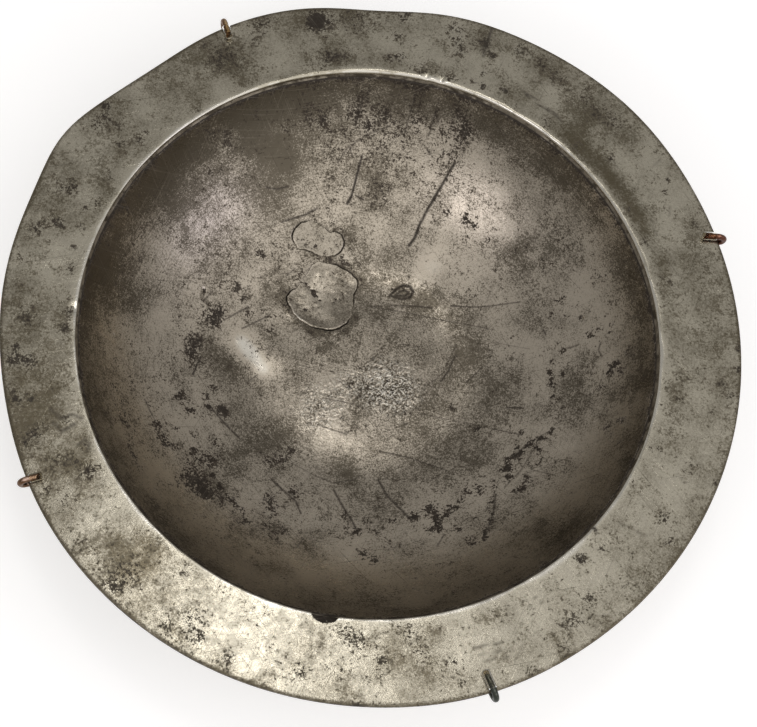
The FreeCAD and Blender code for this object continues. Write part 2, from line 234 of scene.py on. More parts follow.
# Round pits and burrs in the bowl: x, y, radius, depth. Below zero they stand up.
BOWL_PITS = (
    (-58.2, 13.6, 0.8, 0.35), (67.4, 33, 0.6, 0.3), (-62, 29.5, 0.5, -0.12), (-75, 2, 0.6, -0.12),
    (78, -3, 0.6, -0.12), (86, 6, 0.9, -0.15), (-80.5, -15.5, 0.5, -0.15), (33.3, -74, 0.45, -0.15),
    (-8, -18, 0.6, 0.15), (-13, -20, 0.6, 0.15), (-11, -9, 0.7, 0.2), (-17.5, -10, 0.6, 0.15),
    (-12, 4, 0.6, 0.15), (0, -20, 0.6, 0.15), (16, -9, 0.7, 0.2), (18.5, -12, 0.6, 0.2),
    (-43.5, 1.5, 0.5, -0.1), (-42, -6, 0.45, 0.12), (-19.4, 53.5, 0.5, 0.15), (-39.6, 53.3, 0.7, 0.1),
)
# Dents in the bowl: x, y, radius, height. A bump beside a hollow makes a slope that catches the light.
DENTS = (
    (-39, 6, 5, 0.26), (-31, 0, 5, 0.3), (-45, -4, 5, -0.26), (-38, -11, 5, -0.3), (12, 49, 4.5, 0.3),
    (16, 38.5, 5, -0.3), (-14, 44, 2.5, 0.14), (-14, 38.6, 2.2, -0.12), (-8, -50, 6, 0.25),
    (-5, -60, 6, -0.2), (44, 16, 7, -0.25), (-30, -30, 7, -0.2),
)
# Burrs and pits on the repairs, in the same way.
SMALL_PATCH_PITS = ((-30, 41.5, 0.8, 0.08), (-24.5, 45, 0.6, 0.06), (-27, 42, 1.2, 0.06))
LARGE_PATCH_PITS = (
    (-22, 25, 0.7, 0.14), (-20, 23.5, 0.6, 0.12), (-14.5, 25.5, 0.7, 0.12), (-13, 28, 0.5, 0.1),
    (-15, 24, 0.5, 0.1), (-26, 28, 0.6, 0.12), (-24.4, 27, 0.5, 0.1), (-23, 26.5, 0.6, 0.12),
    (-24, 19.2, 0.7, 0.12),
)
# Pitted, beaded spots near the middle: size of a bead, then x, y, half width, half height, strength.
BEAD_SIZE = 0.65
CLUSTERS = ((10.0, -1.0, 10.5, 9.5, 1.0), (-10.0, -14.0, 8.0, 9.0, 0.55), (-3.0, -4.0, 7.0, 6.0, 0.5))
# Rim scratches, stains, and painted shade and highlights, as above.
RIM_SCRATCHES = (
    (0.9, 0.55, (14, 108), (14.6, 119)),
    (0.6, 0.30, (16.5, 107.5), (15.4, 111)),
    (0.8, 0.25, (30, 98.5), (36, 96), (44, 92.5)),
    (0.8, 0.25, (31, 97), (37, 94.4), (45, 90.8)),
    (0.6, 0.22, (33, 103), (40, 103.4)),
    (0.6, 0.22, (90, -42), (99, -44.2)),
    (0.6, 0.20, (105, -21.8), (108.3, -23.8)),
    (0.6, 0.22, (53.5, -92.3), (62, -88.4)),
    (0.5, 0.20, (56, -94), (65, -89.8)),
    (0.5, 0.18, (57.5, -95.5), (66.5, -91.4)),
    (0.5, 0.18, (65, -74.5), (70, -71.5)),
    (0.5, 0.18, (67.5, -75.5), (73, -72)),
    (0.7, 0.45, (-91, -51), (-87, -53.2), (-84, -51), (-81, -51.4)),
    (0.7, 0.45, (-89, -55), (-85.5, -57), (-82.3, -53.6)),
    (0.6, 0.35, (-79.5, -60), (-78, -57.8), (-76, -59), (-76.4, -61.5)),
    (0.6, 0.22, (80, 65), (82, 61), (84, 58)),
    (0.6, 0.30, (86, 69), (86.6, 66.3)),
    (0.6, 0.30, (78, 83), (80, 85.4)),
    (1, 0.35, (82, -45.8), (83.2, -45.9), (83.6, -47)),
    (0.5, 0.22, (-97, 59), (-94, 56.4)),
    (0.5, 0.18, (57.5, 103.5), (59.6, 106)),
)
RIM_STAINS = (
    (-36, 93, 3.8, 0.8), (-31, 95, 3, 0.6), (-17, 98, 2.6, 0.8), (-13, 99.5, 2.4, 0.8),
    (-5, 96.5, 3, 0.6), (5, 96.5, 3.4, 0.6), (12.6, 97.2, 1.5, 0.9), (16.3, 96.2, 1.5, 1),
    (23.8, 96.8, 1.7, 1), (15.3, 101.3, 1.2, 1), (17, 109, 1.4, 0.9), (13, 113, 3.4, 0.7),
    (6, 107.5, 3.4, 0.6), (-15.5, 115, 3, 0.8), (-16, 107, 2.4, 0.6), (-30, 109, 6, 0.6),
    (-40, 106, 5, 0.7), (-44, 104, 3.6, 0.9), (3, 115, 5, 0.6), (26, 113.5, 3, 0.7),
    (34, 110.5, 3.6, 0.7), (40, 107, 4, 0.7), (40, 89, 3, 0.7), (28.6, 92, 0.8, 1), (50, 101, 4.6, 0.5),
    (58, 97, 5, 0.6), (64, 94, 4, 0.6), (52, 83, 2, 0.6), (64, 82, 1.3, 0.7), (63, 81, 1.4, 0.7),
    (72.6, 65, 1.3, 0.7), (83.6, 79, 1, 0.9), (83.6, 74, 0.9, 0.9), (78, 66.5, 1.2, 0.6),
    (95.5, 66, 2, 0.7), (80, 54, 2.6, 0.6), (87.8, 44, 0.8, 0.9), (88, 41.5, 0.7, 0.9),
    (91, 42.5, 1.6, 0.7), (116.8, 25.5, 1.4, 0.9), (117.8, 18.5, 1.4, 1), (113.6, 12, 1.8, 0.9),
    (116.8, 8, 2, 0.6), (112, 2, 1.3, 0.8), (116.5, -3, 1.4, 0.5), (95.8, 0, 1.6, 0.5),
    (96.5, -15, 2.2, 0.5), (101.5, 3, 1.2, 0.6), (103.6, -37, 1.9, 0.8), (109, -18, 2.4, 0.5),
    (117.4, -21, 1, 0.9), (91.5, -28, 1.2, 0.6), (106, -44, 2.4, 0.6), (80.8, -56.5, 1.9, 1),
    (86.2, -52, 0.9, 1), (95.8, -51.2, 0.8, 0.9), (83, -46.2, 0.9, 0.9), (86, -68.5, 3.2, 0.5),
    (82, -75, 4.4, 0.4), (80, -79, 3.6, 0.4), (88, -75, 3.2, 0.35), (81, -85.5, 2.4, 0.6),
    (72, -95, 2.4, 0.6), (51.4, -86.8, 0.8, 0.9), (48.5, -97.5, 1.8, 0.6), (53, -103, 1.6, 0.5),
    (95, -62, 3, 0.4), (28, -103, 2.4, 0.7), (27.5, -107.5, 1.6, 0.7), (24, -109, 1.8, 0.5),
    (35, -92.5, 3.4, 0.5), (39, -98, 3, 0.5), (16, -97, 3.6, 0.5), (20, -99.5, 3.4, 0.5),
    (5, -112.5, 2.8, 0.6), (15, -108.5, 4.4, 0.4), (23.2, -117.8, 1.2, 0.9), (-30, -105, 4.4, 0.5),
    (-38, -108, 2.6, 0.6), (-28, -110.5, 2.6, 0.7), (-18, -113.5, 2.6, 0.6), (-24, -94, 2.4, 0.4),
    (-37, -91, 2.6, 0.5), (-55, -98, 5, 0.35), (-52, -94, 4, 0.3), (-57, -101, 2.4, 0.5),
    (-97.5, -49, 1.7, 1), (-102, -51, 2.2, 0.9), (-104, -48, 2.2, 0.6), (-85, -53, 2, 0.6),
    (-77.5, -59.5, 1.7, 0.6), (-74, -67.5, 2.8, 0.8), (-80, -65, 3.2, 0.6), (-95, -62, 3.6, 0.7),
    (-92, -58, 3, 0.5), (-85, -68, 3.2, 0.5), (-84, -75, 3, 0.4), (-78, -78, 3, 0.4),
    (-99.5, 18, 1.8, 0.8), (-98.6, 11, 1.7, 0.9), (-99, 4, 1.6, 0.9), (-98, -3, 2.2, 0.8),
    (-112.5, 7, 3, 0.8), (-107, 11, 2.2, 0.8), (-104.6, 10, 1.6, 0.8), (-109, 23, 4.4, 0.7),
    (-105, 24, 2.6, 0.6), (-95, 31, 2.2, 0.7), (-96, 21, 2, 0.5), (-94, -17.5, 2.3, 0.9),
    (-94.5, -24, 2.2, 0.8), (-106, -24, 4.4, 0.7), (-107, -33.4, 1.4, 0.9), (-106.5, -37.5, 3.2, 1),
    (-101.5, -37, 2.4, 0.9), (-114.5, -4, 2, 0.6), (-114, -12, 3, 0.5), (-116.6, 3, 1, 0.9),
    (-102.8, 55.5, 1.9, 1), (-102, 50.5, 3.2, 0.9), (-105.5, 46, 2.8, 0.6), (-97, 49, 2, 0.6),
    (-89, 46, 2.6, 0.7), (-88, 49.5, 1, 0.9), (-94, 43, 2.6, 0.6), (-78, 86, 1.4, 0.9), (-72, 86, 5, 0.6),
    (-66, 83, 5, 0.5), (-73, 80, 4, 0.4), (-87.4, 72, 0.8, 0.9), (-61, 99, 4.4, 0.7), (-44, 106, 3, 0.8),
    (-74, 61.5, 1.6, 0.5), (-82, 63, 3, 0.3), (-62, 92, 3, 0.5),
)
RIM_SHADE_AND_HIGHLIGHT = (
    (-110, 20, 12, 0.4), (-106, -25, 12, 0.5), (-90, 75, 12, 0.3), (-70, 84, 10, 0.4),
    (-35, 105, 12, 0.5), (5, 113, 9, 0.1), (35, 108, 10, 0.4), (-8, 106, 14, -0.5), (57, 97, 11, 0.7),
    (48, 86, 8, 0.5), (66, 73, 6, 0.6), (84, 66, 9, -0.5), (78, 86, 5, -0.6), (40, 100, 5, -0.7),
    (20, 104, 8, -0.4), (110, 0, 14, -0.2), (70, -78, 12, -0.4), (84, -60, 10, -0.4),
    (104, -30, 12, -0.2), (-98, 2, 8, -0.3), (-92, -10, 4, -0.6), (-96, -30, 6, -0.3),
    (-70, -80, 12, -0.1), (-96, -62, 10, 0.4), (50, -96, 12, -0.3), (80, -75, 7, 0.5), (88, 58, 6, -0.2),
    (94, 52, 8, 0.3), (-97, -52, 14, 0.8), (-80, -66, 9, 0.5), (102, 20, 16, 0.2), (60, 98, 10, -0.3),
    (-12, -104, 16, -0.4), (-52, -92, 12, 0.8), (35, -97, 9, 0.3),
)
RIM_PITS = (
    (-113, 12.4, 0.8, -0.1), (-64.5, 78, 0.5, -0.12), (-67, -82, 0.6, -0.12), (-46.5, -84.5, 0.5, -0.12),
    (96.4, 36, 0.5, -0.1), (98, 37.6, 0.4, -0.1), (112.5, -13, 0.5, 0.1), (-92, 64, 0.6, -0.1),
)

# ---------------------------------------------------------------- fields over the dish, on arrays of x and y
NOISE_CELLS = 128


def smooth_noise(x, y, cell, seed):
    """Smooth noise from -1 to 1, with features about one cell wide."""
    grid = np.random.default_rng(seed).uniform(-1, 1, (NOISE_CELLS, NOISE_CELLS))
    u = x / cell
    v = y / cell
    column = np.floor(u).astype(int)
    row = np.floor(v).astype(int)
    fu = u - column
    fv = v - row
    fu = fu * fu * (3 - 2 * fu)
    fv = fv * fv * (3 - 2 * fv)

    def corner(right, up):
        return grid[(row + up) % NOISE_CELLS, (column + right) % NOISE_CELLS]

    low = corner(0, 0) * (1 - fu) + corner(1, 0) * fu
    high = corner(0, 1) * (1 - fu) + corner(1, 1) * fu
    return low * (1 - fv) + high * fv


def layered_noise(x, y, layers):
    """Sum of smooth noise over layers of (strength, cell, seed)."""
    return sum(strength * smooth_noise(x, y, cell, seed) for strength, cell, seed in layers)


def bell(distance, width):
    """1 in the middle, dying away over a width on each side."""
    return np.exp(-((distance / width) ** 2))


def climb(distance, width):
    """Straight rise from 0 to 1 over a width."""
    return np.clip(distance / width, 0, 1)


def distance_to_line(x, y, points):
    """Distance from each place to the line through the points."""
    nearest = np.full(x.shape, np.inf)
    for (ax, ay), (bx, by) in zip(points, points[1:]):
        run_x = bx - ax
        run_y = by - ay
        along = ((x - ax) * run_x + (y - ay) * run_y) / (run_x**2 + run_y**2)
        along = np.clip(along, 0, 1)
        nearest = np.minimum(nearest, np.hypot(x - ax - along * run_x, y - ay - along * run_y))
    return nearest


def blobs(x, y, places):
    """Sum of soft round spots, each an (x, y, radius, strength)."""
    total = np.zeros(x.shape)
    for place_x, place_y, radius, strength in places:
        total += strength * np.exp(-((x - place_x) ** 2 + (y - place_y) ** 2) / radius**2)
    return total


def scratch_mask(x, y, scratches, widened=1.0):
    """How much each place lies in a scratch, from 0 to 1."""
    mask = np.zeros(x.shape)
    wobble = 0.25 * smooth_noise(x, y, 1.3, 5)
    for darkness, half_width, *points in scratches:
        away = distance_to_line(x, y, points) / (half_width * widened * (1 + wobble))
        mask = np.maximum(mask, darkness * np.exp(-(away**3)))
    return mask


def pits(x, y, places):
    """Height of the round pits and burrs."""
    return -blobs(x, y, places)


# How ragged a repair's seam is, first along X and then along Y.
SEAM_RAGGED = (((0.35, 2.1, 6), (0.15, 0.9, 8)), ((0.35, 2.1, 7), (0.15, 0.9, 9)))


def closed_curve(points, samples):
    """Smooth closed curve near the points, a little ragged, as an array of places."""
    corners = np.array(points)
    before = np.roll(corners, 1, 0)
    after = np.roll(corners, -1, 0)
    beyond = np.roll(corners, -2, 0)
    t = np.linspace(0, 1, samples, endpoint=False)[:, None, None]
    curve = (
        2 * corners
        + (after - before) * t
        + (2 * before - 5 * corners + 4 * after - beyond) * t**2
        + (3 * corners - before - 3 * after + beyond) * t**3
    ) / 2
    curve = curve.transpose(1, 0, 2).reshape(-1, 2)
    ragged = [layered_noise(curve[:, 0], curve[:, 1], layers) for layers in SEAM_RAGGED]
    return curve + np.column_stack(ragged)


def patch_reach(x, y, outline):
    """Distance from a repair's middle as a share of the way to its outline, and the length of that way."""
    curve = closed_curve(outline, 12)
    middle = curve.mean(0)
    angles = np.arctan2(curve[:, 1] - middle[1], curve[:, 0] - middle[0])
    reach = np.hypot(curve[:, 0] - middle[0], curve[:, 1] - middle[1])
    order = np.argsort(angles)
    at = np.arctan2(y - middle[1], x - middle[0])
    edge = np.interp(at, angles[order], reach[order], period=2 * math.pi)
    return np.hypot(x - middle[0], y - middle[1]) / edge, edge


def outside_patch(x, y, outline):
    """Distance outside a repair's outline, which is below zero inside it."""
    share, edge = patch_reach(x, y, outline)
    return (share - 1) * edge


def fused(x, y):
    """How far a repair's seam has run together with the bowl, from 0 for an open line to 1."""
    return np.clip(0.5 + 1.3 * smooth_noise(x, y, 5.5, 43), 0, 1)


def rim_edge(azimuth):
    """Radius of the rim's knocked outer edge, at azimuths in degrees."""
    radius = RIM_RADIUS + OFF_CENTRE[0] * np.cos(np.radians(azimuth - OFF_CENTRE[1]))
    radius = radius + OVAL[0] * np.cos(2 * np.radians(azimuth - OVAL[1]))
    for middle, push, spread in KNOCKS:
        away = (azimuth - middle + 180) % 360 - 180
        radius = radius + push * bell(away, spread)
    return radius


# ---------------------------------------------------------------- height of the bowl's two faces
FLOOR_FLAT = (0.8, 38.0, 12.0)      # how much flatter than a plain arc the floor is, where, and how wide
RECESS = 0.8                        # depth of the hollow that each repair fills
PROUD = 0.22                        # height of the repairs above the floor
EDGE_SUNK = 0.1                     # and how much lower their edges start
SEAM_STEP = 0.2                     # width of the step down into the hollow
SCRATCH_DEPTH = 0.05
BEAD_HEIGHT = 0.14
DENT_FADE = 12.0                    # the bowl's waves fade out over this width below the throat
BOWL_WAVES = ((0.16, 31, 1), (0.07, 13, 2), (0.018, 5, 3))
BEADS = ((1, BEAD_SIZE, 11), (0.4, 1.9, 12))


def bowl_section(radius):
    """Height of the bowl's inside face, before any wear."""
    run = np.clip(radius - FLOOR_RADIUS, 0, THROAT_RADIUS - FLOOR_RADIUS)
    height = METAL + BOWL_ARC - np.sqrt(BOWL_ARC**2 - run**2)
    depth, middle, width = FLOOR_FLAT
    return height - depth * bell(radius - middle, width)


def bowl_face(x, y):
    """Height of the bowl's inside face with its dents and waves, without scratches or repairs."""
    radius = np.hypot(x, y)
    waves = layered_noise(x, y, BOWL_WAVES) * climb(THROAT_RADIUS - radius, DENT_FADE)
    return bowl_section(radius) + waves + blobs(x, y, DENTS)


def cluster_share(x, y):
    """How strongly each place is burned and beaded, from 0 to 1."""
    share = np.zeros(x.shape)
    for middle_x, middle_y, half_width, half_height, strength in CLUSTERS:
        away = ((x - middle_x) / half_width) ** 2 + ((y - middle_y) / half_height) ** 2
        share = np.maximum(share, strength * np.exp(-(away**2)))
    return share


def cluster_relief(x, y):
    """Beads and pits of the burned spots near the middle of the floor."""
    return cluster_share(x, y) * BEAD_HEIGHT * np.clip(layered_noise(x, y, BEADS), -0.2, 1)


def worn_bowl_face(x, y):
    """Height of the bowl's inside face with everything that marks it."""
    height = bowl_face(x, y) + cluster_relief(x, y) + pits(x, y, BOWL_PITS)
    height -= SCRATCH_DEPTH * scratch_mask(x, y, BOWL_SCRATCHES)
    for outline in (SMALL_PATCH, LARGE_PATCH):
        outside = outside_patch(x, y, outline)
        height -= RECESS * np.clip(1 - (outside + 0.5 * fused(x, y)) / SEAM_STEP, 0, 1)
        height += 0.06 * bell(outside - 1.0, 0.6) * (0.6 + 0.6 * smooth_noise(x, y, 3, 21))
    return height


# ---------------------------------------------------------------- meshes
INSIDE_SPACING = 1.0                # of the bowl's points inside, where nothing marks it
FINER_WITHIN = (0.9, 0.45)          # edges are halved this close to a mark, once for each
OUTSIDE_SPACING = 2.4               # of the bowl's points outside
WALL_RINGS = 42                     # rings of points down the outside of the wall
BASE_RINGS = 20                     # and in over the base
BASE_MIDDLE = 1.5                   # radius of the innermost
RIM_COLUMNS = 1080                  # points round the rim
SOLDER_COLUMNS = 960
PATCH_POINTS = 24                   # along the outline between two of its corners
WIRE_SIDES = 28
SLEEVE_SIDES = 40


def make_piece(name, points, faces, material, body, nodes, attributes=None):
    """Mesh object from points in millimetres, riding on its CAD body in place of its CAD nodes."""
    mesh = bpy.data.meshes.new(name)
    mesh.from_pydata((np.asarray(points) * MM).tolist(), [], faces)
    mesh.polygons.foreach_set("use_smooth", [True] * len(mesh.polygons))
    for label, values in (attributes or {}).items():
        layer = mesh.attributes.new(label, "FLOAT", "POINT")
        layer.data.foreach_set("value", np.asarray(values, np.float32))
    mesh.materials.append(material)
    mesh.update()
    piece = bpy.data.objects.new(name, mesh)
    bpy.context.scene.collection.objects.link(piece)
    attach(piece, body)
    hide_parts(*nodes)
    return piece


def ring(radius, height, count):
    """Level circle of points about the dish's axis."""
    angles = np.arange(count) * 2 * math.pi / count
    return np.column_stack([radius * np.cos(angles), radius * np.sin(angles), np.full(count, height)])


def stitch(low, low_count, high, high_count):
    """Triangles between two closed rings that may have different numbers of points."""
    faces = []
    i = 0
    j = 0
    while i < low_count or j < high_count:
        low_point = low + i % low_count
        high_point = high + j % high_count
        if j >= high_count or (i < low_count and (i + 1) * high_count <= (j + 1) * low_count):
            faces.append((low_point, high_point, low + (i + 1) % low_count))
            i += 1
        else:
            faces.append((low_point, high_point, high + (j + 1) % high_count))
            j += 1
    return faces


def refined(points, faces, near, rounds):
    """The mesh with its edges halved wherever near(x, y, margin) is true, once for each margin."""
    net = bmesh.new()
    vertices = [net.verts.new(point) for point in points]
    for face in faces:
        net.faces.new([vertices[i] for i in face])
    for margin in rounds:
        net.verts.ensure_lookup_table()
        places = np.array([vertex.co for vertex in net.verts])
        chosen = near(places[:, 0], places[:, 1], margin)
        for index, vertex in enumerate(net.verts):
            vertex.tag = bool(chosen[index])
        edges = [edge for edge in net.edges if not edge.is_boundary and any(v.tag for v in edge.verts)]
        bmesh.ops.subdivide_edges(net, edges=edges, cuts=1, use_grid_fill=True)
        bmesh.ops.triangulate(net, faces=[face for face in net.faces if len(face.verts) > 3])
    net.verts.index_update()
    places = np.array([vertex.co for vertex in net.verts])
    made = [tuple(vertex.index for vertex in face.verts) for face in net.faces]
    net.free()
    return places, made


SEAM_MARGIN = 1.0                   # the mesh is finer this far on each side of a repair's seam
CLUSTER_MARGIN = 0.2                # and where a burned spot is at least this strong


def near_bowl_details(x, y, margin):
    """True where the bowl's face needs a finer mesh."""
    nearest = np.full(x.shape, np.inf)
    for darkness, half_width, *points in BOWL_SCRATCHES:
        nearest = np.minimum(nearest, distance_to_line(x, y, points) - half_width)
    for outline in (SMALL_PATCH, LARGE_PATCH):
        outside = outside_patch(x, y, outline)
        nearest = np.minimum(nearest, np.abs(outside) - SEAM_MARGIN)
    for pit_x, pit_y, radius, depth in BOWL_PITS:
        nearest = np.minimum(nearest, np.hypot(x - pit_x, y - pit_y) - radius)
    return (nearest < margin) | (cluster_share(x, y) > CLUSTER_MARGIN)


def arc_through(a, b, c):
    """Centre and radius of the circle through three points."""
    matrix = 2 * np.array([np.subtract(b, a), np.subtract(c, a)])
    squares = np.array([np.dot(b, b) - np.dot(a, a), np.dot(c, c) - np.dot(a, a)])
    centre = np.linalg.solve(matrix, squares)
    return centre, math.dist(centre, a)


def underside_rings():
    """Radius and height of the rings over the flange, down the outside and in to the middle of the base."""
    reach = BOWL_ARC + METAL
    flange_under = LEDGE - FLANGE_THICKNESS
    top_turn = math.acos((METAL + BOWL_ARC - flange_under) / reach)
    foot_turn = math.asin((FOOT_RADIUS - FLOOR_RADIUS) / reach)

    def offset_point(turn):
        return (FLOOR_RADIUS + reach * math.sin(turn), METAL + BOWL_ARC - reach * math.cos(turn))

    foot = (FOOT_RADIUS, 0)
    wall_top = offset_point(top_turn)
    centre, radius = arc_through(foot, offset_point((top_turn + foot_turn) / 2), wall_top)
    start = math.atan2(wall_top[1] - centre[1], wall_top[0] - centre[0])
    end = math.atan2(foot[1] - centre[1], foot[0] - centre[0])
    wall = [(centre[0] + radius * math.cos(a), centre[1] + radius * math.sin(a))
            for a in np.linspace(start, end, WALL_RINGS)]
    base = [(r, 0.0) for r in np.linspace(FOOT_RADIUS, BASE_MIDDLE, BASE_RINGS)[1:]]
    flange = [(FLANGE_RADIUS - 0.4, LEDGE - 0.02), (FLANGE_RADIUS, LEDGE - 0.4)]
    flange += [(FLANGE_RADIUS, flange_under + 0.5), (FLANGE_RADIUS - 0.5, flange_under)]
    flange += [((FLANGE_RADIUS + wall_top[0]) / 2, flange_under)]
    return flange + wall + base


GROOVE_SPACING = 3.8                # turned grooves in the base
GROOVE_DEPTH = 0.1
CENTRE_MARK = (0.5, 1.3)            # depth and radius
FOOT_LINE = (0.18, 33.0, 0.9)       # depth, radius and half width of the line near the base's edge


def underside_relief(x, y):
    """Turned grooves, dents and the rough backs of the repairs, all cut into the metal."""
    radius = np.hypot(x, y)
    grooves = GROOVE_DEPTH / 2 * (1 + np.cos(radius * 2 * math.pi / GROOVE_SPACING)) * climb(radius, 12)
    centre_mark = CENTRE_MARK[0] * bell(radius, CENTRE_MARK[1])
    foot_line = FOOT_LINE[0] * bell(radius - FOOT_LINE[1], FOOT_LINE[2])
    dents = 0.15 * (1 + smooth_noise(x, y, 17, 31)) + 0.03 * (1 + smooth_noise(x, y, 5, 32))
    backs = 0
    for outline in (SMALL_PATCH, LARGE_PATCH):
        share, edge = patch_reach(x, y, outline)
        outside = (share - 1) * edge
        backs = backs + 0.22 * bell(outside, 0.9)
        backs = backs + 0.1 * (1 + smooth_noise(x, y, 1.8, 33)) * np.clip(1 - share, 0, 0.4)
    worn = climb(THROAT_RADIUS - radius, 8)
    return (grooves * (radius < FOOT_RADIUS) + centre_mark + foot_line + dents + backs) * worn


FLOOR_EDGE = 44.0                   # radius where a painted highlight starts to brighten the wall on the near side
DARK_THROAT = 84.0                  # radius where painted shade darkens the wall towards the throat, most on the far side
THROAT_SHADE = 92.5                  # radius where painted shade starts in the corner under the rim's lip
NEAR_SIDE = (0.25, -0.433)          # half of the direction of the side where the wall is painted brighter
SOOT = ((SMALL_PATCH, 0.2), (LARGE_PATCH, 0.6))


def bowl_fields(x, y):
    """What the bowl's material reads at each point: oxide, tone with painted shade and painted highlights,
    scratches and burned spots.
    """
    flecks = scratch_mask(x, y, BOWL_FLECKS) * (0.75 + 0.8 * smooth_noise(x, y, 1.7, 45))
    oxide = 1.4 * np.maximum(blobs(x, y, BOWL_STAINS), flecks)
    radius = np.hypot(x, y)
    far_wall = bell(y - 84, 10) * climb(radius - 60, 20)
    beads = smooth_noise(x, y, BEAD_SIZE, 11)
    oxide += 0.12 * far_wall + 0.16 * smooth_noise(x, y, 9, 41)
    beaded = cluster_share(x, y)
    oxide += 0.3 * beaded * (0.2 - 1.8 * beads)
    # Tone field: painted shade and painted highlights from the table, plus random tone.
    light_and_tone = blobs(x, y, BOWL_SHADE_AND_HIGHLIGHT) + 0.3 * smooth_noise(x, y, 11, 42)
    # Painted glint on each bead of the burned spots.
    light_and_tone -= 2.8 * beaded * np.clip(beads - 0.1, 0, 1)
    # Painted shade: the floor darker, the wall darker towards the throat on the far side, and a painted
    # highlight on the wall towards the near side.
    light_and_tone += 0.30 * climb(50 - radius, 12)
    near_side = 0.5 + (NEAR_SIDE[0] * x + NEAR_SIDE[1] * y) / np.maximum(radius, 1)
    light_and_tone += (1.0 - 0.75 * near_side) * climb(radius - DARK_THROAT, 5)
    light_and_tone -= 0.35 * near_side * climb(radius - FLOOR_EDGE, 12)
    # Painted shade in the corner under the rim's lip, in the oxide field.
    oxide += 2.0 * climb(radius - THROAT_SHADE, 0.4)
    oxide += 0.6 * bell(radius - 92.2, 0.8) * (0.6 + 0.8 * smooth_noise(x, y, 2.5, 44))
    line = scratch_mask(x, y, BOWL_SCRATCHES, 1.5)
    for outline, soot in SOOT:
        outside = outside_patch(x, y, outline)
        band = soot * bell(outside - 1.6, 1.5) * (0.8 + 0.9 * smooth_noise(x, y, 3, 46))
        oxide += 0.8 * band
        light_and_tone += 0.9 * band
        line = np.maximum(line, (0.9 - 0.8 * fused(x, y)) * bell(outside - 0.1, 0.28))
    return {"oxide": oxide, "light_and_tone": light_and_tone, "line": line, "burned": beaded}


def underside_fields(x, y):
    """The same for the bowl's outside, which has stains of its own and no scratches."""
    oxide = 0.3 + 0.45 * smooth_noise(x, y, 14, 81) + 0.3 * smooth_noise(x, y, 5, 82)
    light_and_tone = 0.35 * smooth_noise(x, y, 12, 83)
    return {"oxide": oxide, "light_and_tone": light_and_tone, "line": 0 * x, "burned": 0 * x}


def build_bowl(material):
    """Closed shell of the bowl: fine inside, plainer outside."""
    length = FLOOR_RADIUS + BOWL_ARC * WALL_TURN
    ring_count = round(length / INSIDE_SPACING)
    points = [(0.0, 0.0, 0.0)]
    faces = []
    start = 0
    count = 1
    for index in range(1, ring_count + 1):
        along = length * index / ring_count
        turn = max(along - FLOOR_RADIUS, 0) / BOWL_ARC
        radius = min(along, FLOOR_RADIUS) + BOWL_ARC * math.sin(turn)
        next_count = round(2 * math.pi * radius / INSIDE_SPACING)
        points.extend(ring(radius, 0, next_count).tolist())
        faces += stitch(start, count, start + count, next_count)
        start += count
        count = next_count
    faces = [face for face in faces if len(set(face)) == 3]
    places, faces = refined(points, faces, near_bowl_details, FINER_WITHIN)
    x = places[:, 0]
    y = places[:, 1]
    top = np.column_stack([x, y, worn_bowl_face(x, y)])
    top[start : start + count, 2] = LEDGE

    rows = [top]
    total = len(top)
    for radius, height in underside_rings():
        next_count = max(12, round(2 * math.pi * radius / OUTSIDE_SPACING))
        circle = ring(radius, height, next_count)
        if height < LEDGE - FLANGE_THICKNESS - 0.01:
            circle[:, 2] += underside_relief(circle[:, 0], circle[:, 1])
        rows.append(circle)
        faces += stitch(start, count, total, next_count)
        start = total
        count = next_count
        total += next_count
    middle = np.array([[0, 0, underside_relief(np.zeros(1), np.zeros(1))[0]]])
    rows.append(middle)
    faces += [(start + i, total, start + (i + 1) % count) for i in range(count)]
    points = np.concatenate(rows)
    inside = bowl_fields(x, y)
    outside = underside_fields(points[len(top) :, 0], points[len(top) :, 1])
    fields = {field: np.concatenate([inside[field], outside[field]]) for field in inside}
    return make_piece("bowl", points, faces, material, "dish", ["bowl_shell"], fields)


def grid_faces(rows, columns, closed=False):
    """Quads of a grid that closes round its columns, and round its rows too if it is closed."""
    faces = []
    for row in range(rows if closed else rows - 1):
        low = row * columns
        high = (row + 1) % rows * columns
        for column in range(columns):
            following = (column + 1) % columns
            faces.append((low + column, high + column, high + following, low + following))
    return faces


def end_faces(rows, columns):
    """One face over each open end of a grid."""
    last = (rows - 1) * columns
    return [tuple(range(columns)), tuple(last + i for i in reversed(range(columns)))]


def flipped(faces):
    """The faces turned to look the other way, for a grid that was laid clockwise."""
    return [tuple(reversed(face)) for face in faces]


def columns_round(count):
    """Azimuths of a ring's columns in degrees, with the cosine and sine of each."""
    azimuth = np.arange(count) * 360 / count
    return azimuth, np.cos(np.radians(azimuth)), np.sin(np.radians(azimuth))


def turned_points(rows, azimuth):
    """Points at each azimuth for rows of (radius, height), where either may change round the axis."""
    cos = np.cos(np.radians(azimuth))
    sin = np.sin(np.radians(azimuth))
    circles = []
    for radius, height in rows:
        circles.append(np.column_stack([radius * cos, radius * sin, height + 0 * cos]))
    return np.concatenate(circles)


def nick_depth(azimuth):
    """How far the broken nick bites into the rim's inner edge."""
    along = ((azimuth - NICK_AZIMUTH + 180) % 360 - 180) * math.radians(LIP_RADIUS)
    return np.interp(along, NICK_ALONG, NICK_DEEP)


def lip_wear(azimuth, x, y):
    """Rounding of the rim's inner edge: broad on the far side, and nearly sharp on the near side."""
    far_side = np.clip(0.3 + 0.8 * np.sin(np.radians(azimuth + 38)), 0, 1)
    wear = 0.45 + 0.95 * far_side + (0.1 + 0.3 * far_side) * smooth_noise(x, y, 6, 51)
    return np.clip(wear + 0.12 * smooth_noise(x, y, 2.0, 52), 0.3, 1.9)


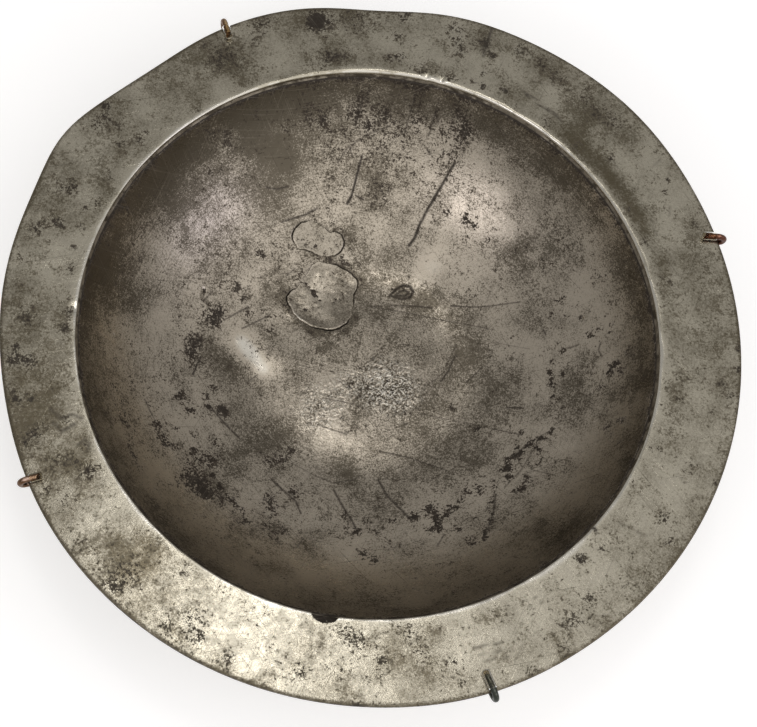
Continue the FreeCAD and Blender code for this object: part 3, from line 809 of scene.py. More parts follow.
# Layers of noise on the rim: strength, cell, seed.
RIM_WAVES = ((0.10, 34, 61), (0.04, 12, 62), (0.014, 4, 63))
SHEEN_UNEVEN = ((0.6, 5, 75), (0.5, 1.3, 76))
# Small notches in the rim's edges: x, y, radius, strength.
RIM_NOTCHES = ((-92.5, -16.5, 1.6, 0.35), (2, 94.6, 1.1, 0.35), (-3, 94.4, 0.9, 0.35))


def rim_relief(x, y):
    """Waves, dents and scratches of the rim's top, all below its CAD face."""
    highest = sum(strength for strength, cell, seed in RIM_WAVES)
    waves = layered_noise(x, y, RIM_WAVES) - highest
    cuts = SCRATCH_DEPTH * scratch_mask(x, y, RIM_SCRATCHES) + blobs(x, y, RIM_NOTCHES)
    return waves - cuts + pits(x, y, RIM_PITS) * 0.8


def rim_fields(x, y, z):
    """What the rim's material reads at each point."""
    azimuth = np.degrees(np.arctan2(y, x))
    from_edge = rim_edge(azimuth) - np.hypot(x, y)
    from_lip = np.hypot(x, y) - LIP_RADIUS
    oxide = 1.3 * blobs(x, y, RIM_STAINS) + 0.14 * smooth_noise(x, y, 10, 71)
    oxide += 0.55 * bell(from_edge, 0.9) * (0.7 + 0.5 * smooth_noise(x, y, 3, 72))
    # Painted shade on the outer edge's side face, partly oxide.
    oxide += 1.1 * climb(RIM_TOP - 0.4 - z, 0.5) * (from_edge < 1)
    oxide -= 0.8 * bell(from_lip, 1.2)
    # Tone field: painted shade and painted highlights from the table, random tone, and painted shade along
    # the outer edge.
    light_and_tone = blobs(x, y, RIM_SHADE_AND_HIGHLIGHT) + 0.3 * smooth_noise(x, y, 13, 73) + 1.2 * bell(from_edge, 0.7)
    # Painted highlight along the lip, partly rubbed wear, brightest in a thin line on its edge; a darker band
    # beyond the lip at the back right; and painted shade dimming the lip in two places.
    light_and_tone -= (0.8 + 0.7 * smooth_noise(x, y, 9, 74)) * bell(from_lip, 2.2)
    rubbed_sheen = 1.1 + 0.3 * np.sin(np.radians(azimuth)) + 0.6 * bell(azimuth - 65, 25)
    rubbed_sheen *= 1.0 + layered_noise(x, y, SHEEN_UNEVEN)
    light_and_tone -= rubbed_sheen * bell(from_lip - 0.3, 0.5)
    light_and_tone += 0.9 * bell(azimuth - 42, 20) * bell(from_lip - 5.5, 3)
    dim = 1.2 * bell(azimuth - 118, 14) + 0.6 * bell(azimuth + 150, 14)
    light_and_tone += dim * bell(from_lip, 1.6)
    line = scratch_mask(x, y, RIM_SCRATCHES, 1.4)
    return {"oxide": oxide, "light_and_tone": light_and_tone, "line": line, "burned": 0 * x}


def build_rim(material):
    """Flat knocked ring with a worn round lip, the nick, and a rounded outer edge."""
    azimuth, cos, sin = columns_round(RIM_COLUMNS)
    inner = LIP_RADIUS + nick_depth(azimuth)
    broken = climb(nick_depth(azimuth), 1.2)
    outer = rim_edge(azimuth)
    wear = lip_wear(azimuth, LIP_RADIUS * cos, LIP_RADIUS * sin) * (1 - 0.8 * broken)
    edge_wear = 0.6
    lowest_worn = LEDGE + 0.7
    rows = [(inner, LEDGE), (inner, LEDGE + 0.25)]
    for turn in np.linspace(0, math.pi / 2, 8):
        rows.append((inner + wear * (1 - math.cos(turn)), RIM_TOP - wear * (1 - math.sin(turn))))
    for share in np.linspace(0, 1, 34)[1:]:
        start = inner + wear
        end = outer - edge_wear
        rows.append((start + (end - start) * share, RIM_TOP))
    for turn in np.linspace(0, math.pi / 2, 6)[1:]:
        rows.append((outer - edge_wear * (1 - math.sin(turn)), RIM_TOP - edge_wear * (1 - math.cos(turn))))
    for turn in np.linspace(0, math.pi / 2, 6):
        rows.append((outer - edge_wear * (1 - math.cos(turn)), LEDGE + edge_wear * (1 - math.sin(turn))))
    for share in np.linspace(1, 0, 9)[1:]:
        rows.append((inner + (outer - edge_wear - inner) * share, LEDGE))
    rows.pop()
    points = turned_points(rows, azimuth)
    x = points[:, 0]
    y = points[:, 1]
    upper = climb(points[:, 2] - lowest_worn, RIM_TOP - lowest_worn)
    points[:, 2] += rim_relief(x, y) * upper
    faces = grid_faces(len(rows), RIM_COLUMNS, closed=True)
    fields = rim_fields(x, y, points[:, 2])
    return make_piece("rim", points, faces, material, "dish", ["rim_ring"], fields)


def build_solder(material):
    """Lumpy fillet of solder in the corner between the bowl's ledge and the rim's inner edge."""
    azimuth, cos, sin = columns_round(SOLDER_COLUMNS)
    x = LIP_RADIUS * cos
    y = LIP_RADIUS * sin
    gone = climb(nick_depth(azimuth), 0.8)
    lumps = 1 + 0.35 * smooth_noise(x, y, 2.6, 81) + 0.2 * smooth_noise(x, y, 1.1, 82)
    rise = 0.75 * lumps * (1 - 0.9 * gone)
    run = (LIP_RADIUS - THROAT_RADIUS) * (1 - 0.6 * gone)
    rows = [(LIP_RADIUS - run, LEDGE + 0.01)]
    for share in np.linspace(0.15, 0.85, 6):
        bulge = 0.25 * math.sin(math.pi * share) * (lumps - 1.1)
        height = np.maximum(rise * share + 0.3 * bulge, 0.01)
        rows.append((LIP_RADIUS - run * (1 - share) - 0.2 * bulge, LEDGE + height))
    rows += [(LIP_RADIUS - 0.01, LEDGE + rise), (LIP_RADIUS - 0.01, LEDGE + 0.01)]
    points = turned_points(rows, azimuth)
    faces = grid_faces(len(rows), SOLDER_COLUMNS, closed=True)
    return make_piece("solder_seam", points, faces, material, "dish", ["seam_solder"])


REPAIR_LUMPS = ((0.06, 4.5, 91), (0.035, 1.6, 92))


def build_patch(name, outline, pit_places, bead_side, bead_height, material):
    """Repair burned into the floor: a lens of metal that fills its hollow, with a raised bead at its edge."""
    curve = closed_curve(outline, PATCH_POINTS)
    middle = curve.mean(0)
    columns = len(curve)
    top_shares = np.concatenate([[0.02], np.linspace(0.08, 0.86, 22), np.linspace(0.88, 0.985, 10)])
    places = np.concatenate([middle + (curve - middle) * share for share in top_shares])
    x = places[:, 0]
    y = places[:, 1]
    inwards = -outside_patch(x, y, outline)
    side = np.cos(np.arctan2(y - middle[1], x - middle[0]) - math.radians(bead_side))
    broken = np.clip(0.6 + 0.7 * smooth_noise(x, y, 3.5, 95), 0, 1)
    bead = bell(inwards - 0.7, 0.4) * broken * bead_height * (0.6 + 0.4 * side)
    edge_drop = np.clip(1 - inwards / 0.5, 0, 1) ** 2 * 0.30
    lumps = layered_noise(x, y, REPAIR_LUMPS)
    sunk = 0.12 * bell(inwards - 3, 2)
    height = bowl_face(x, y) + PROUD - EDGE_SUNK - sunk + bead + lumps - edge_drop + pits(x, y, pit_places)
    top = np.column_stack([x, y, height])
    under_rows = []
    for share in (0.985, 0.7, 0.35, 0.02):
        places = middle + (curve - middle) * share
        under = bowl_face(places[:, 0], places[:, 1]) - RECESS + 0.04
        under_rows.append(np.column_stack([places, under]))
    points = np.concatenate([top] + under_rows)
    row_count = len(top_shares) + len(under_rows)
    faces = grid_faces(row_count, columns) + end_faces(row_count, columns)
    faces = flipped(faces)
    line = bell(inwards, 0.22) * (0.7 - 0.6 * fused(x, y))
    line = np.concatenate([line, np.zeros(len(points) - len(top))])
    dirty = [(pit_x, pit_y, 1.5 * radius, 9 * depth) for pit_x, pit_y, radius, depth in pit_places]
    oxide = blobs(points[:, 0], points[:, 1], dirty)
    oxide += 0.12 * smooth_noise(points[:, 0], points[:, 1], 6, 93)
    light_and_tone = 0.1 + 0.35 * smooth_noise(points[:, 0], points[:, 1], 7, 94)
    # Painted highlight along the raised bead, in the tone field.
    light_and_tone[: len(top)] -= 1.4 * bead / max(bead_height, 0.15)
    fields = {"oxide": oxide, "light_and_tone": light_and_tone, "line": line, "burned": 0 * light_and_tone}
    return make_piece(name, points, faces, material, "dish", [name], fields)


# ---------------------------------------------------------------- clips
def swept(path, radius, sides):
    """Round tube of points along a path, row after row."""
    tangents = np.gradient(path, axis=0)
    tangents /= np.linalg.norm(tangents, axis=1)[:, None]
    normal = np.array([0.0, 1.0, 0.0])
    rows = []
    angles = np.arange(sides) * 2 * math.pi / sides
    for place, tangent, reach in zip(path, tangents, radius):
        normal = normal - tangent * np.dot(normal, tangent)
        normal /= np.linalg.norm(normal)
        across = np.cross(tangent, normal)
        circle = np.outer(np.cos(angles), normal) + np.outer(np.sin(angles), across)
        rows.append(place + circle * np.reshape(reach, (-1, 1)))
    return np.concatenate(rows)


CLIP_STEP = 0.16                    # spacing of the points along a clip
PLIER_MARKS = (1.0, 6.6)            # how far past the rim's edge the pliers held the wire
PLIER_DEPTH = 0.03
END_ROUND = 0.3                     # rounding of the wire's two ends
FILED_LENGTH = 4.0                  # only this much of the tip is filed


def clip_path(over_rim):
    """Centre line of a clip from its tip, over the rim, round the edge and back to its open eye."""
    centre_height = (CLIP_TOP + CLIP_BOTTOM) / 2
    bend = (CLIP_TOP - CLIP_BOTTOM) / 2
    over = np.arange(-over_rim, -BEND_SET_IN, CLIP_STEP)
    points = [np.column_stack([over, 0 * over, 0 * over + CLIP_TOP])]
    turn = np.linspace(0, math.pi, round(math.pi * bend / CLIP_STEP))
    bend_x = bend * np.sin(turn) - BEND_SET_IN
    points.append(np.column_stack([bend_x, 0 * turn, centre_height + bend * np.cos(turn)]))
    back = -BEND_SET_IN - np.arange(CLIP_STEP, LEG_LENGTH, CLIP_STEP)
    points.append(np.column_stack([back, 0 * back, 0 * back + CLIP_BOTTOM]))
    eye_turn = math.radians(EYE_TURN)
    loop = np.linspace(0, eye_turn, round(eye_turn * EYE_RADIUS / CLIP_STEP))
    eye_x = -BEND_SET_IN - LEG_LENGTH - EYE_RADIUS * np.sin(loop)
    points.append(np.column_stack([eye_x, EYE_RADIUS * (1 - np.cos(loop)), 0 * loop + CLIP_BOTTOM]))
    return np.concatenate(points)


def placed(points, azimuth, skew):
    """Clip points moved from the X axis to their place on the rim's edge."""
    turn = math.radians(azimuth + skew)
    edge = rim_edge(azimuth)
    x = points[:, 0] * math.cos(turn) - points[:, 1] * math.sin(turn) + edge * math.cos(math.radians(azimuth))
    y = points[:, 0] * math.sin(turn) + points[:, 1] * math.cos(turn) + edge * math.sin(math.radians(azimuth))
    return np.column_stack([x, y, points[:, 2]])


def filed(points, over_rim, facets):
    """Points of the wire pushed back along its line to the facets filed on its tip."""
    points = points.copy()
    for turn, tip, set_back in facets:
        side = math.radians(turn)
        rise = math.radians(tip)
        normal = np.array([-math.cos(side) * math.cos(rise), math.sin(side) * math.cos(rise), math.sin(rise)])
        above = (points - np.array([-over_rim + set_back, 0, CLIP_TOP])) @ normal
        near_tip = (points[:, 0] < -over_rim + FILED_LENGTH) & (points[:, 2] > RIM_TOP)
        beyond = np.where(near_tip & (above > 0), above, 0)
        points[:, 0] -= beyond / normal[0]
    return points


def build_clip(name, material):
    """Bent wire with a filed tip and an open eye, with its rounded ends and slight plier marks."""
    azimuth, skew, over_rim, facets = CLIPS[name]
    path = clip_path(over_rim)
    radius = np.full(len(path), WIRE_RADIUS)
    along = np.arange(len(path)) * CLIP_STEP
    marks = sum(PLIER_DEPTH * bell(along - over_rim - place, 0.5) for place in PLIER_MARKS)
    radius = radius - marks - 0.008 * (1 + smooth_noise(along, along * 0, 1.1, 101))
    first = path[0]
    last = path[-1]
    last_run = path[-1] - path[-2]
    last_run /= np.linalg.norm(last_run)
    caps = np.linspace(0, math.pi / 2, 5)[:-1]
    tip_radius = [radius[0] - END_ROUND * (1 - math.sin(turn)) for turn in caps]
    tip = np.array([first + np.array([END_ROUND * (1 - math.cos(turn)), 0, 0]) for turn in caps])
    start = np.argmax(path[:, 0] > first[0] + END_ROUND)
    tail = np.array([last + last_run * END_ROUND * math.sin(turn) for turn in caps[1:]])
    tail_radius = [radius[-1] - END_ROUND * (1 - math.cos(turn)) for turn in caps[1:]]
    whole = np.concatenate([tip, path[start:], tail])
    reach = np.concatenate([tip_radius, radius[start:], tail_radius])
    points = swept(whole, reach, WIRE_SIDES)
    points = filed(points, over_rim, facets)
    first_centre = points[:WIRE_SIDES].mean(0)
    last_centre = points[-WIRE_SIDES:].mean(0)
    points = np.concatenate([points, [first_centre, last_centre]])
    faces = grid_faces(len(whole), WIRE_SIDES)
    ends = len(whole) * WIRE_SIDES
    faces += [(ends, i, (i + 1) % WIRE_SIDES) for i in range(WIRE_SIDES)]
    last_row = ends - WIRE_SIDES
    faces += [(last_row + i, ends + 1, last_row + (i + 1) % WIRE_SIDES) for i in range(WIRE_SIDES)]
    nodes = [f"clip_wire_{name}"]
    body = f"clip_{name}"
    points = placed(points, azimuth, skew)
    return make_piece(body, points, flipped(faces), material, body, nodes)


SLEEVE_SLACK = 0.05                 # space between the wire and its sleeve
SLEEVE_NOSE = 0.9                   # rounding of the sleeve's closed end
SLEEVE_END = 0.3                    # thickness of its closed end
SLEEVE_OPENS = -0.75                # where its open end is, along the clip from the rim's edge
PINHOLE = 0.02                      # radius of the small flat faces in the middle of its end


def build_sleeve(name, material):
    """Thin clear sleeve shrunk over the wire's tip, closed and rounded at its far end."""
    azimuth, skew, over_rim, facets = CLIPS[name]
    outside = WIRE_RADIUS + SLEEVE_WALL
    inside = WIRE_RADIUS + SLEEVE_SLACK
    far = -over_rim - SLEEVE_WALL
    closed_end = far + SLEEVE_END
    section = []
    for turn in np.linspace(0, math.pi / 2, 8):
        rise = SLEEVE_NOSE * math.sin(turn)
        section.append((far + SLEEVE_NOSE * (1 - math.cos(turn)), outside - SLEEVE_NOSE + rise))
    section = [(far, PINHOLE), (far, (outside - SLEEVE_NOSE) / 2)] + section
    for share in np.linspace(0.1, 1, 12):
        waist = 0.03 * math.sin(share * 5)
        section.append((far + SLEEVE_NOSE + (SLEEVE_OPENS - far - SLEEVE_NOSE) * share, outside - abs(waist)))
    section.append((SLEEVE_OPENS + 0.04, (inside + outside) / 2))
    for share in np.linspace(0, 1, 8):
        section.append((SLEEVE_OPENS + (closed_end - SLEEVE_OPENS) * share, inside))
    section += [(closed_end, inside / 2), (closed_end, PINHOLE)]
    angles = np.arange(SLEEVE_SIDES) * 2 * math.pi / SLEEVE_SIDES
    rows = []
    for x, radius in section:
        row = [np.full(SLEEVE_SIDES, x), radius * np.cos(angles), CLIP_TOP + radius * np.sin(angles)]
        rows.append(np.column_stack(row))
    points = np.concatenate(rows)
    faces = grid_faces(len(rows), SLEEVE_SIDES) + end_faces(len(rows), SLEEVE_SIDES)
    nodes = [f"clip_sleeve_{name}"]
    points = placed(points, azimuth, skew)
    return make_piece(f"sleeve_{name}", points, faces, material, f"clip_{name}", nodes)


# ---------------------------------------------------------------- materials
COLOUR_MIX = (6, 7, 2)              # the mix node's two colour inputs and its colour output


class Tree:
    """A node tree while it is put together."""

    def __init__(self, owner):
        owner.use_nodes = True
        self.nodes = owner.node_tree.nodes
        self.links = owner.node_tree.links

    def put(self, socket, value):
        """Link a node's output to the socket, or set its plain value."""
        if isinstance(value, bpy.types.NodeSocket):
            self.links.new(value, socket)
        elif isinstance(value, tuple) and len(value) == 3 and socket.type == "RGBA":
            socket.default_value = (*value, 1)
        else:
            socket.default_value = value

    def node(self, kind, inputs=None, **settings):
        """New node with these settings, and with its inputs filled by name or number."""
        node = self.nodes.new("ShaderNode" + kind)
        for setting, value in settings.items():
            setattr(node, setting, value)
        for key, value in (inputs or {}).items():
            self.put(node.inputs[key], value)
        return node

    def math(self, operation, *values, clamp=False):
        return self.node("Math", dict(enumerate(values)), operation=operation, use_clamp=clamp).outputs[0]

    def surface(self, **values):
        """Set the Principled surface's inputs, with underscores for spaces."""
        for name, value in values.items():
            self.put(self.nodes["Principled BSDF"].inputs[name.replace("_", " ")], value)


class Finish(Tree):
    """A Principled material while it is put together. Lengths in it are millimetres."""

    def __init__(self, name):
        self.material = bpy.data.materials.new(name)
        super().__init__(self.material)
        place = self.node("TexCoord").outputs["Object"]
        self.place = self.scaled(place, 1 / MM)

    def scaled(self, vector, scale):
        return self.node("VectorMath", {0: vector, "Scale": scale}, operation="SCALE").outputs[0]

    def field(self, name):
        """A value stored on the mesh's points."""
        return self.node("Attribute", attribute_name=name).outputs["Fac"]

    def noise(self, size, detail=4.0, roughness=0.55, distortion=0.0, place=None):
        """Noise from 0 to 1 with features about this size."""
        inputs = {"Vector": place or self.place, "Scale": 1 / size, "Detail": detail}
        inputs |= {"Roughness": roughness, "Distortion": distortion}
        return self.node("TexNoise", inputs).outputs["Fac"]

    def ramp(self, value, low, high, start=0.0, end=1.0):
        """Smooth step of the value between two limits."""
        inputs = dict(enumerate((value, low, high, start, end)))
        return self.node("MapRange", inputs, interpolation_type="SMOOTHSTEP").outputs["Result"]

    def mix(self, share, first, second):
        """Colour between two colours."""
        first_input, second_input, output = COLOUR_MIX
        inputs = {0: share, first_input: first, second_input: second}
        return self.node("Mix", inputs, data_type="RGBA").outputs[output]

    def weighted(self, start, *parts):
        """The start value plus each (value, weight, middle) part's distance from its middle, weighted."""
        total = start
        for value, weight, middle in parts:
            term = self.math("MULTIPLY_ADD", value, weight, -weight * middle)
            total = self.math("ADD", total, term)
        return total

    def stretched_place(self, angle, across, along):
        """Coordinates that stretch noise into hairlines at an angle."""
        turn = (0, 0, math.radians(angle))
        inputs = {"Vector": self.place, "Rotation": turn, "Scale": (along, across, along)}
        return self.node("Mapping", inputs, vector_type="TEXTURE").outputs[0]

    def bump(self, height):
        """Surface normal bent by a height in millimetres."""
        return self.node("Bump", {"Distance": MM, "Height": height}).outputs["Normal"]

    def round_place(self, across, around):
        """Coordinates that stretch noise round the dish's axis, for turning marks."""
        split = self.node("SeparateXYZ", {0: self.place}).outputs
        flat = self.node("CombineXYZ", {0: split[0], 1: split[1]}).outputs[0]
        radius = self.node("VectorMath", {0: flat}, operation="LENGTH").outputs["Value"]
        direction = self.node("VectorMath", {0: flat}, operation="NORMALIZE").outputs[0]
        turned = self.scaled(direction, 1 / math.radians(around))
        slope_length = self.math("ADD", radius, self.math("MULTIPLY", split[2], 0.6))
        lifted = self.node("CombineXYZ", {2: self.math("DIVIDE", slope_length, across)}).outputs[0]
        return self.node("VectorMath", {0: turned, 1: lifted}, operation="ADD").outputs[0]


DEEP_STAIN = (0.026, 0.019, 0.013)
BOWL_STAIN = (0.032, 0.024, 0.017)
RIM_STAIN = (0.052, 0.043, 0.029)
# Colour of the painted highlights.
HIGHLIGHT_COLOUR = (0.66, 0.63, 0.56)
# Limits between which each kind of mark, and the painted highlight, sets in on the pewter.
SPECK_EDGE = (0.24, 0.27)
SPECK_CORE = (0.34, 0.46)
BEAD_GAP = (0.47, 0.39)
BEAD_CROWN = (0.53, 0.61)
HIGHLIGHT_LIMITS = (-0.7, -1.5)
# Hairlines in the pewter: angle in degrees, width.
HAIRLINES = ((25, 0.32), (78, 0.28), (140, 0.36))
HAIR_LENGTH = 26


def pewter(name, bright, dull, stain, marks, gloss, speckle):
    """Old pewter: gritty mottled grey, with painted shade and painted highlights and crisp dark oxide where
    the fields say.

    marks is the strength of the turning marks, gloss is the roughness, and speckle the strength of the grit.
    """
    finish = Finish(name)
    oxide = finish.field("oxide")
    light_and_tone = finish.field("light_and_tone")
    line = finish.field("line")
    burned = finish.field("burned")
    beads = finish.noise(0.55, detail=2, roughness=0.5)
    cloud = finish.noise(15, detail=5, roughness=0.6)
    patches = finish.noise(5, detail=5, roughness=0.6, distortion=0.4)
    grain = finish.noise(1.9, detail=4, roughness=0.6)
    fine = finish.noise(0.85, detail=3, roughness=0.6)
    grit = finish.noise(0.45, detail=3, roughness=0.6)
    haze = finish.noise(9, detail=2, roughness=0.45)
    turning = finish.noise(1, detail=4, roughness=0.7, place=finish.round_place(0.5, 7))

    # Grey between bright and dull, from painted shade in the tone field and from random mottling.
    dulled = finish.weighted(0.36, (light_and_tone, 0.55, 0), (oxide, 0.14, 0), (cloud, 0.5, 0.5), (haze, 1.1, 0.5),
                             (patches, 0.4, 0.5), (grain, 0.5, 0.5), (fine, speckle, 0.5),
                             (grit, 2.6 * speckle, 0.5), (turning, 1.2 * marks, 0.5))
    colour = finish.mix(finish.ramp(dulled, -0.1, 1.1), bright, dull)
    smudge = finish.weighted(0, (light_and_tone, 0.16, 0), (oxide, 0.12, 0), (cloud, 0.7, 0.5), (patches, 1.0, 0.5),
                             (grain, 0.5, 0.5), (fine, 0.7, 0.5), (grit, 0.8, 0.5))
    colour = finish.mix(finish.ramp(smudge, 0.07, 0.19, 0, 0.6), colour, dull)
    # Painted highlight where the tone field is low.
    highlight_share = finish.ramp(light_and_tone, *HIGHLIGHT_LIMITS)
    colour = finish.mix(highlight_share, colour, HIGHLIGHT_COLOUR)

    specks = finish.weighted(0, (oxide, 0.32, 0), (fine, 1.1, 0.5), (grain, 0.8, 0.5), (grit, 0.7, 0.5),
                             (patches, 0.35, 0.5), (cloud, 0.3, 0.5))
    cores = finish.ramp(specks, *SPECK_CORE)
    specks = finish.ramp(specks, *SPECK_EDGE)
    scratched = finish.math("MULTIPLY", line, finish.ramp(fine, 0.25, 0.5, 0.6, 1.0))
    dark = finish.math("MAXIMUM", specks, scratched, clamp=True)
    oxide_colour = finish.mix(finish.ramp(grain, 0.35, 0.65), stain, tuple(2.0 * part for part in stain))
    oxide_colour = finish.mix(finish.math("MAXIMUM", cores, scratched, clamp=True), oxide_colour, DEEP_STAIN)
    colour = finish.mix(finish.math("MULTIPLY", dark, 0.97), colour, oxide_colour)

    hairs = 0
    cuts = 0
    for angle, size in HAIRLINES:
        place = finish.stretched_place(angle, size, HAIR_LENGTH)
        hair = finish.noise(1, detail=2, roughness=0.5, place=place)
        hairs = finish.math("ADD", hairs, finish.ramp(hair, 0.62, 0.72))
        cuts = finish.math("ADD", cuts, finish.ramp(hair, 0.34, 0.26))
    colour = finish.mix(finish.math("MULTIPLY", hairs, 0.14, clamp=True), colour, bright)
    colour = finish.mix(finish.math("MULTIPLY", cuts, 0.45, clamp=True), colour, stain)

    # Burned spots: stain in the gaps between beads, partly oxide in the pits and partly painted shade, and a
    # painted glint on each bead's crown.
    gaps = finish.math("MULTIPLY", burned, finish.ramp(beads, *BEAD_GAP))
    crowns = finish.math("MULTIPLY", burned, finish.ramp(beads, *BEAD_CROWN))
    colour = finish.mix(finish.math("MULTIPLY", gaps, 0.6), colour, stain)
    colour = finish.mix(finish.math("MULTIPLY", crowns, 0.8), colour, HIGHLIGHT_COLOUR)

    rough = finish.weighted(gloss, (grain, 0.12, 0.5), (patches, 0.2, 0.5), (dark, 0.25, 0),
                            (highlight_share, -0.05, 0))
    burned_beads = finish.math("MULTIPLY", burned, beads)
    height = finish.weighted(0, (turning, 0.016 * marks, 0), (fine, 0.022 * speckle, 0),
                             (grain, 0.014 * speckle, 0), (grit, 0.014 * speckle, 0), (specks, -0.03, 0),
                             (hairs, -0.006, 0), (burned_beads, 0.12, 0))
    metallic = finish.math("SUBTRACT", 1.0, finish.math("MULTIPLY", dark, 0.5))
    finish.surface(Base_Color=colour, Roughness=rough, Metallic=metallic, Normal=finish.bump(height))
    return finish.material


def solder_finish():
    """Bright lumpy solder with dirt in its hollows."""
    finish = Finish("solder")
    lumps = finish.noise(1.2, detail=4)
    dirt = finish.ramp(finish.noise(4.0, detail=5, roughness=0.65), 0.45, 0.62)
    colour = finish.mix(dirt, (0.24, 0.21, 0.165), (0.07, 0.058, 0.043))
    rough = finish.ramp(lumps, 0.2, 0.8, 0.30, 0.5)
    height = finish.math("MULTIPLY", lumps, 0.12)
    finish.surface(Base_Color=colour, Metallic=0.9, Roughness=rough, Normal=finish.bump(height))
    return finish.material


SHEEN_SIDE = (0.2, -0.1, 0.97)     # direction that the clips' painted highlight faces, partly rubbed bright


def wire_finish(name, bright, dark, wear):
    """Drawn wire with tarnish, with a painted highlight along its top, partly rubbed bright."""
    finish = Finish(name)
    normal = finish.node("NewGeometry").outputs["Normal"]
    facing = finish.node("VectorMath", {0: normal, 1: SHEEN_SIDE}, operation="DOT_PRODUCT").outputs["Value"]
    patchy = finish.noise(1.6, detail=5, roughness=0.65)
    scuffs = finish.noise(0.45, detail=3)
    # Painted highlight on the wire's top, partly rubbed bright, made uneven by the patchy noise.
    rubbed_sheen = finish.math("ADD", facing, finish.math("MULTIPLY", finish.math("SUBTRACT", patchy, 0.5), 0.9))
    rubbed_sheen = finish.ramp(rubbed_sheen, 1.05 - 0.35 * wear, 1.25 - 0.25 * wear)
    colour = finish.mix(rubbed_sheen, dark, bright)
    colour = finish.mix(finish.ramp(scuffs, 0.60, 0.72), colour, (0.02, 0.015, 0.012))
    height = finish.math("ADD", finish.math("MULTIPLY", scuffs, 0.04), finish.math("MULTIPLY", patchy, 0.05))
    rough = finish.ramp(patchy, 0.2, 0.8, 0.22, 0.45)
    finish.surface(Base_Color=colour, Metallic=0.95, Roughness=rough, Normal=finish.bump(height))
    return finish.material


def sleeve_finish(name, bend):
    """Clear plastic sleeve, yellowed and slightly scuffed."""
    finish = Finish(name)
    cloud = finish.noise(1.5, detail=3)
    colour = finish.mix(cloud, (0.76, 0.71, 0.61), (0.92, 0.89, 0.82))
    rough = finish.ramp(finish.noise(0.5, detail=3), 0.3, 0.7, 0.06, 0.14)
    height = finish.math("MULTIPLY", cloud, 0.05)
    normal = finish.bump(height)
    finish.surface(Base_Color=colour, Roughness=rough, IOR=bend, Transmission_Weight=1.0, Normal=normal)
    return finish.material


# ---------------------------------------------------------------- stage, light and camera
def build_floor():
    """Plain pale floor that the dish stands on."""
    mesh = bpy.data.meshes.new("floor")
    reach = 4.0
    corners = [(-reach, -reach, 0), (reach, -reach, 0), (reach, reach, 0), (-reach, reach, 0)]
    mesh.from_pydata(corners, [], [(0, 1, 2, 3)])
    floor = bpy.data.objects.new("floor", mesh)
    bpy.context.scene.collection.objects.link(floor)
    material = bpy.data.materials.new("floor")
    pale = (0.88, 0.88, 0.88)
    Tree(material).surface(Base_Color=pale, Roughness=0.9, Emission_Color=(1, 1, 1), Emission_Strength=0.4)
    mesh.materials.append(material)


def soft_light(name, target, direction, distance, size, radiance, colour):
    """Round soft light, aimed at a target from a direction, with an even brightness over its disc."""
    light = bpy.data.lights.new(name, "AREA")
    light.shape = "DISK"
    light.size = size
    light.energy = radiance * math.pi * math.pi * (size / 2) ** 2
    light.color = colour
    lamp = bpy.data.objects.new(name, light)
    away = Vector(direction).normalized()
    lamp.location = Vector(target) * MM + away * distance
    lamp.rotation_euler = away.to_track_quat("Z", "Y").to_euler()
    lamp.visible_camera = False
    bpy.context.scene.collection.objects.link(lamp)


BRIGHT_SIDE = (0.40, -0.50, 0.77)   # direction that the room light is brightest from
ROOM_COLOUR = (1.0, 0.98, 0.96)
ROOM_DIM = 0.43                     # room light away from that side
ROOM_RISE = 0.78                    # and how much more comes from that side
ROOM_EDGE = 0.45                    # cosine of the angle from that side where the rise starts
ROOM_CURVE = 1.3
# Soft lights: name, target, direction from it, distance and size in metres, brightness, colour.
LIGHTS = (
    ("overhead", (-14, -101, RIM_TOP), (-0.03, 0.225, 0.972), 1.2, 0.20, 6.4, (1.0, 0.985, 0.97)),
    ("window", (-62, 38, 18), (0.839, -0.168, 0.517), 1.1, 0.38, 1.7, (0.80, 0.78, 1.0)),
    ("lamp", (24, 66, 17), (-0.360, -0.623, 0.695), 1.1, 0.34, 2.5, (0.97, 0.94, 1.0)),
)


def build_light():
    """White room light, brighter from one side, and three soft lights for the highlights."""
    world = bpy.data.worlds.new("room")
    bpy.context.scene.world = world
    tree = Tree(world)
    direction = tree.node("TexCoord").outputs["Generated"]
    towards = tree.node("VectorMath", {0: direction, 1: BRIGHT_SIDE}, operation="DOT_PRODUCT")
    share = tree.node("MapRange", {"Value": towards.outputs["Value"], "From Min": ROOM_EDGE})
    rise = tree.math("POWER", share.outputs["Result"], ROOM_CURVE)
    background = tree.nodes["Background"].inputs
    tree.put(background["Color"], ROOM_COLOUR)
    tree.put(background["Strength"], tree.math("MULTIPLY_ADD", rise, ROOM_RISE, ROOM_DIM))
    for light in LIGHTS:
        soft_light(*light)


CAMERA_TARGET = (4.78, -9.85, 44.0)
CAMERA_ELEVATION = 68.96
CAMERA_ROLL = 13.99
CAMERA_DISTANCE = 0.660             # metres
CAMERA_LENS = 98.6                  # focal length for a 36 mm sensor


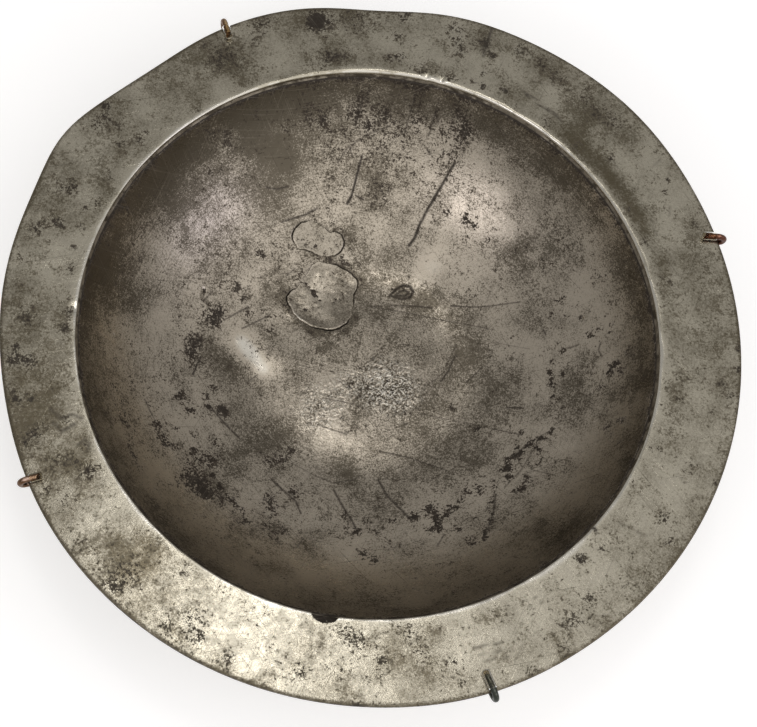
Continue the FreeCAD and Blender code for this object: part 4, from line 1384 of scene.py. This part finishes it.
def build_camera():
    """Camera above the front of the dish, turned a little about its own line of sight."""
    elevation = math.radians(CAMERA_ELEVATION)
    roll = math.radians(CAMERA_ROLL)
    back = Vector((0, -math.cos(elevation), math.sin(elevation)))
    level_up = back.cross(Vector((1, 0, 0)))
    right = math.cos(roll) * Vector((1, 0, 0)) + math.sin(roll) * level_up
    up = back.cross(right)
    data = bpy.data.cameras.new("camera")
    data.sensor_width = 36
    data.lens = CAMERA_LENS
    data.clip_start = 0.01
    camera = bpy.data.objects.new("camera", data)
    place = Vector(CAMERA_TARGET) * MM + back * CAMERA_DISTANCE
    camera.matrix_world = Matrix.Translation(place) @ Matrix((right, up, back)).transposed().to_4x4()
    bpy.context.scene.collection.objects.link(camera)
    bpy.context.scene.camera = camera


# ---------------------------------------------------------------- the dish
rim_pewter = pewter("rim_pewter", (0.49, 0.455, 0.37), (0.127, 0.108, 0.073), RIM_STAIN,
                    marks=0.2, gloss=0.27, speckle=0.6)
bowl_pewter = pewter("bowl_pewter", (0.50, 0.445, 0.365), (0.112, 0.096, 0.072), BOWL_STAIN,
                     marks=0.9, gloss=0.30, speckle=1.0)
patch_pewter = pewter("patch_pewter", (0.43, 0.385, 0.315), (0.15, 0.130, 0.100), BOWL_STAIN,
                      marks=0.0, gloss=0.30, speckle=0.8)

build_bowl(bowl_pewter)
build_rim(rim_pewter)
build_solder(solder_finish())
build_patch("patch_small", SMALL_PATCH, SMALL_PATCH_PITS, 250, 0.06, patch_pewter)
build_patch("patch_large", LARGE_PATCH, LARGE_PATCH_PITS, 215, 0.22, patch_pewter)
# Each clip's bright colour, painted on its top as a highlight partly from rubbing, its tarnished colour, and
# how far the bright top spreads.
WIRE_COLOURS = {
    "back_left": ((0.62, 0.44, 0.24), (0.13, 0.07, 0.035), 0.9),
    "back_right": ((0.50, 0.27, 0.18), (0.10, 0.040, 0.025), 0.7),
    "front_left": ((0.62, 0.45, 0.36), (0.12, 0.065, 0.035), 1.0),
    "front_right": ((0.20, 0.21, 0.18), (0.045, 0.05, 0.042), 0.6),
}
# How strongly each clear sleeve bends light: the higher, the more its edges show.
SLEEVE_BENDS = {"back_left": 1.12, "back_right": 1.10, "front_left": 1.10, "front_right": 1.28}
for clip_name in CLIPS:
    build_clip(clip_name, wire_finish(f"wire_{clip_name}", *WIRE_COLOURS[clip_name]))
    build_sleeve(clip_name, sleeve_finish(f"sleeve_{clip_name}", SLEEVE_BENDS[clip_name]))
build_floor()
build_light()
build_camera()
bpy.context.scene.view_settings.view_transform = "Standard"
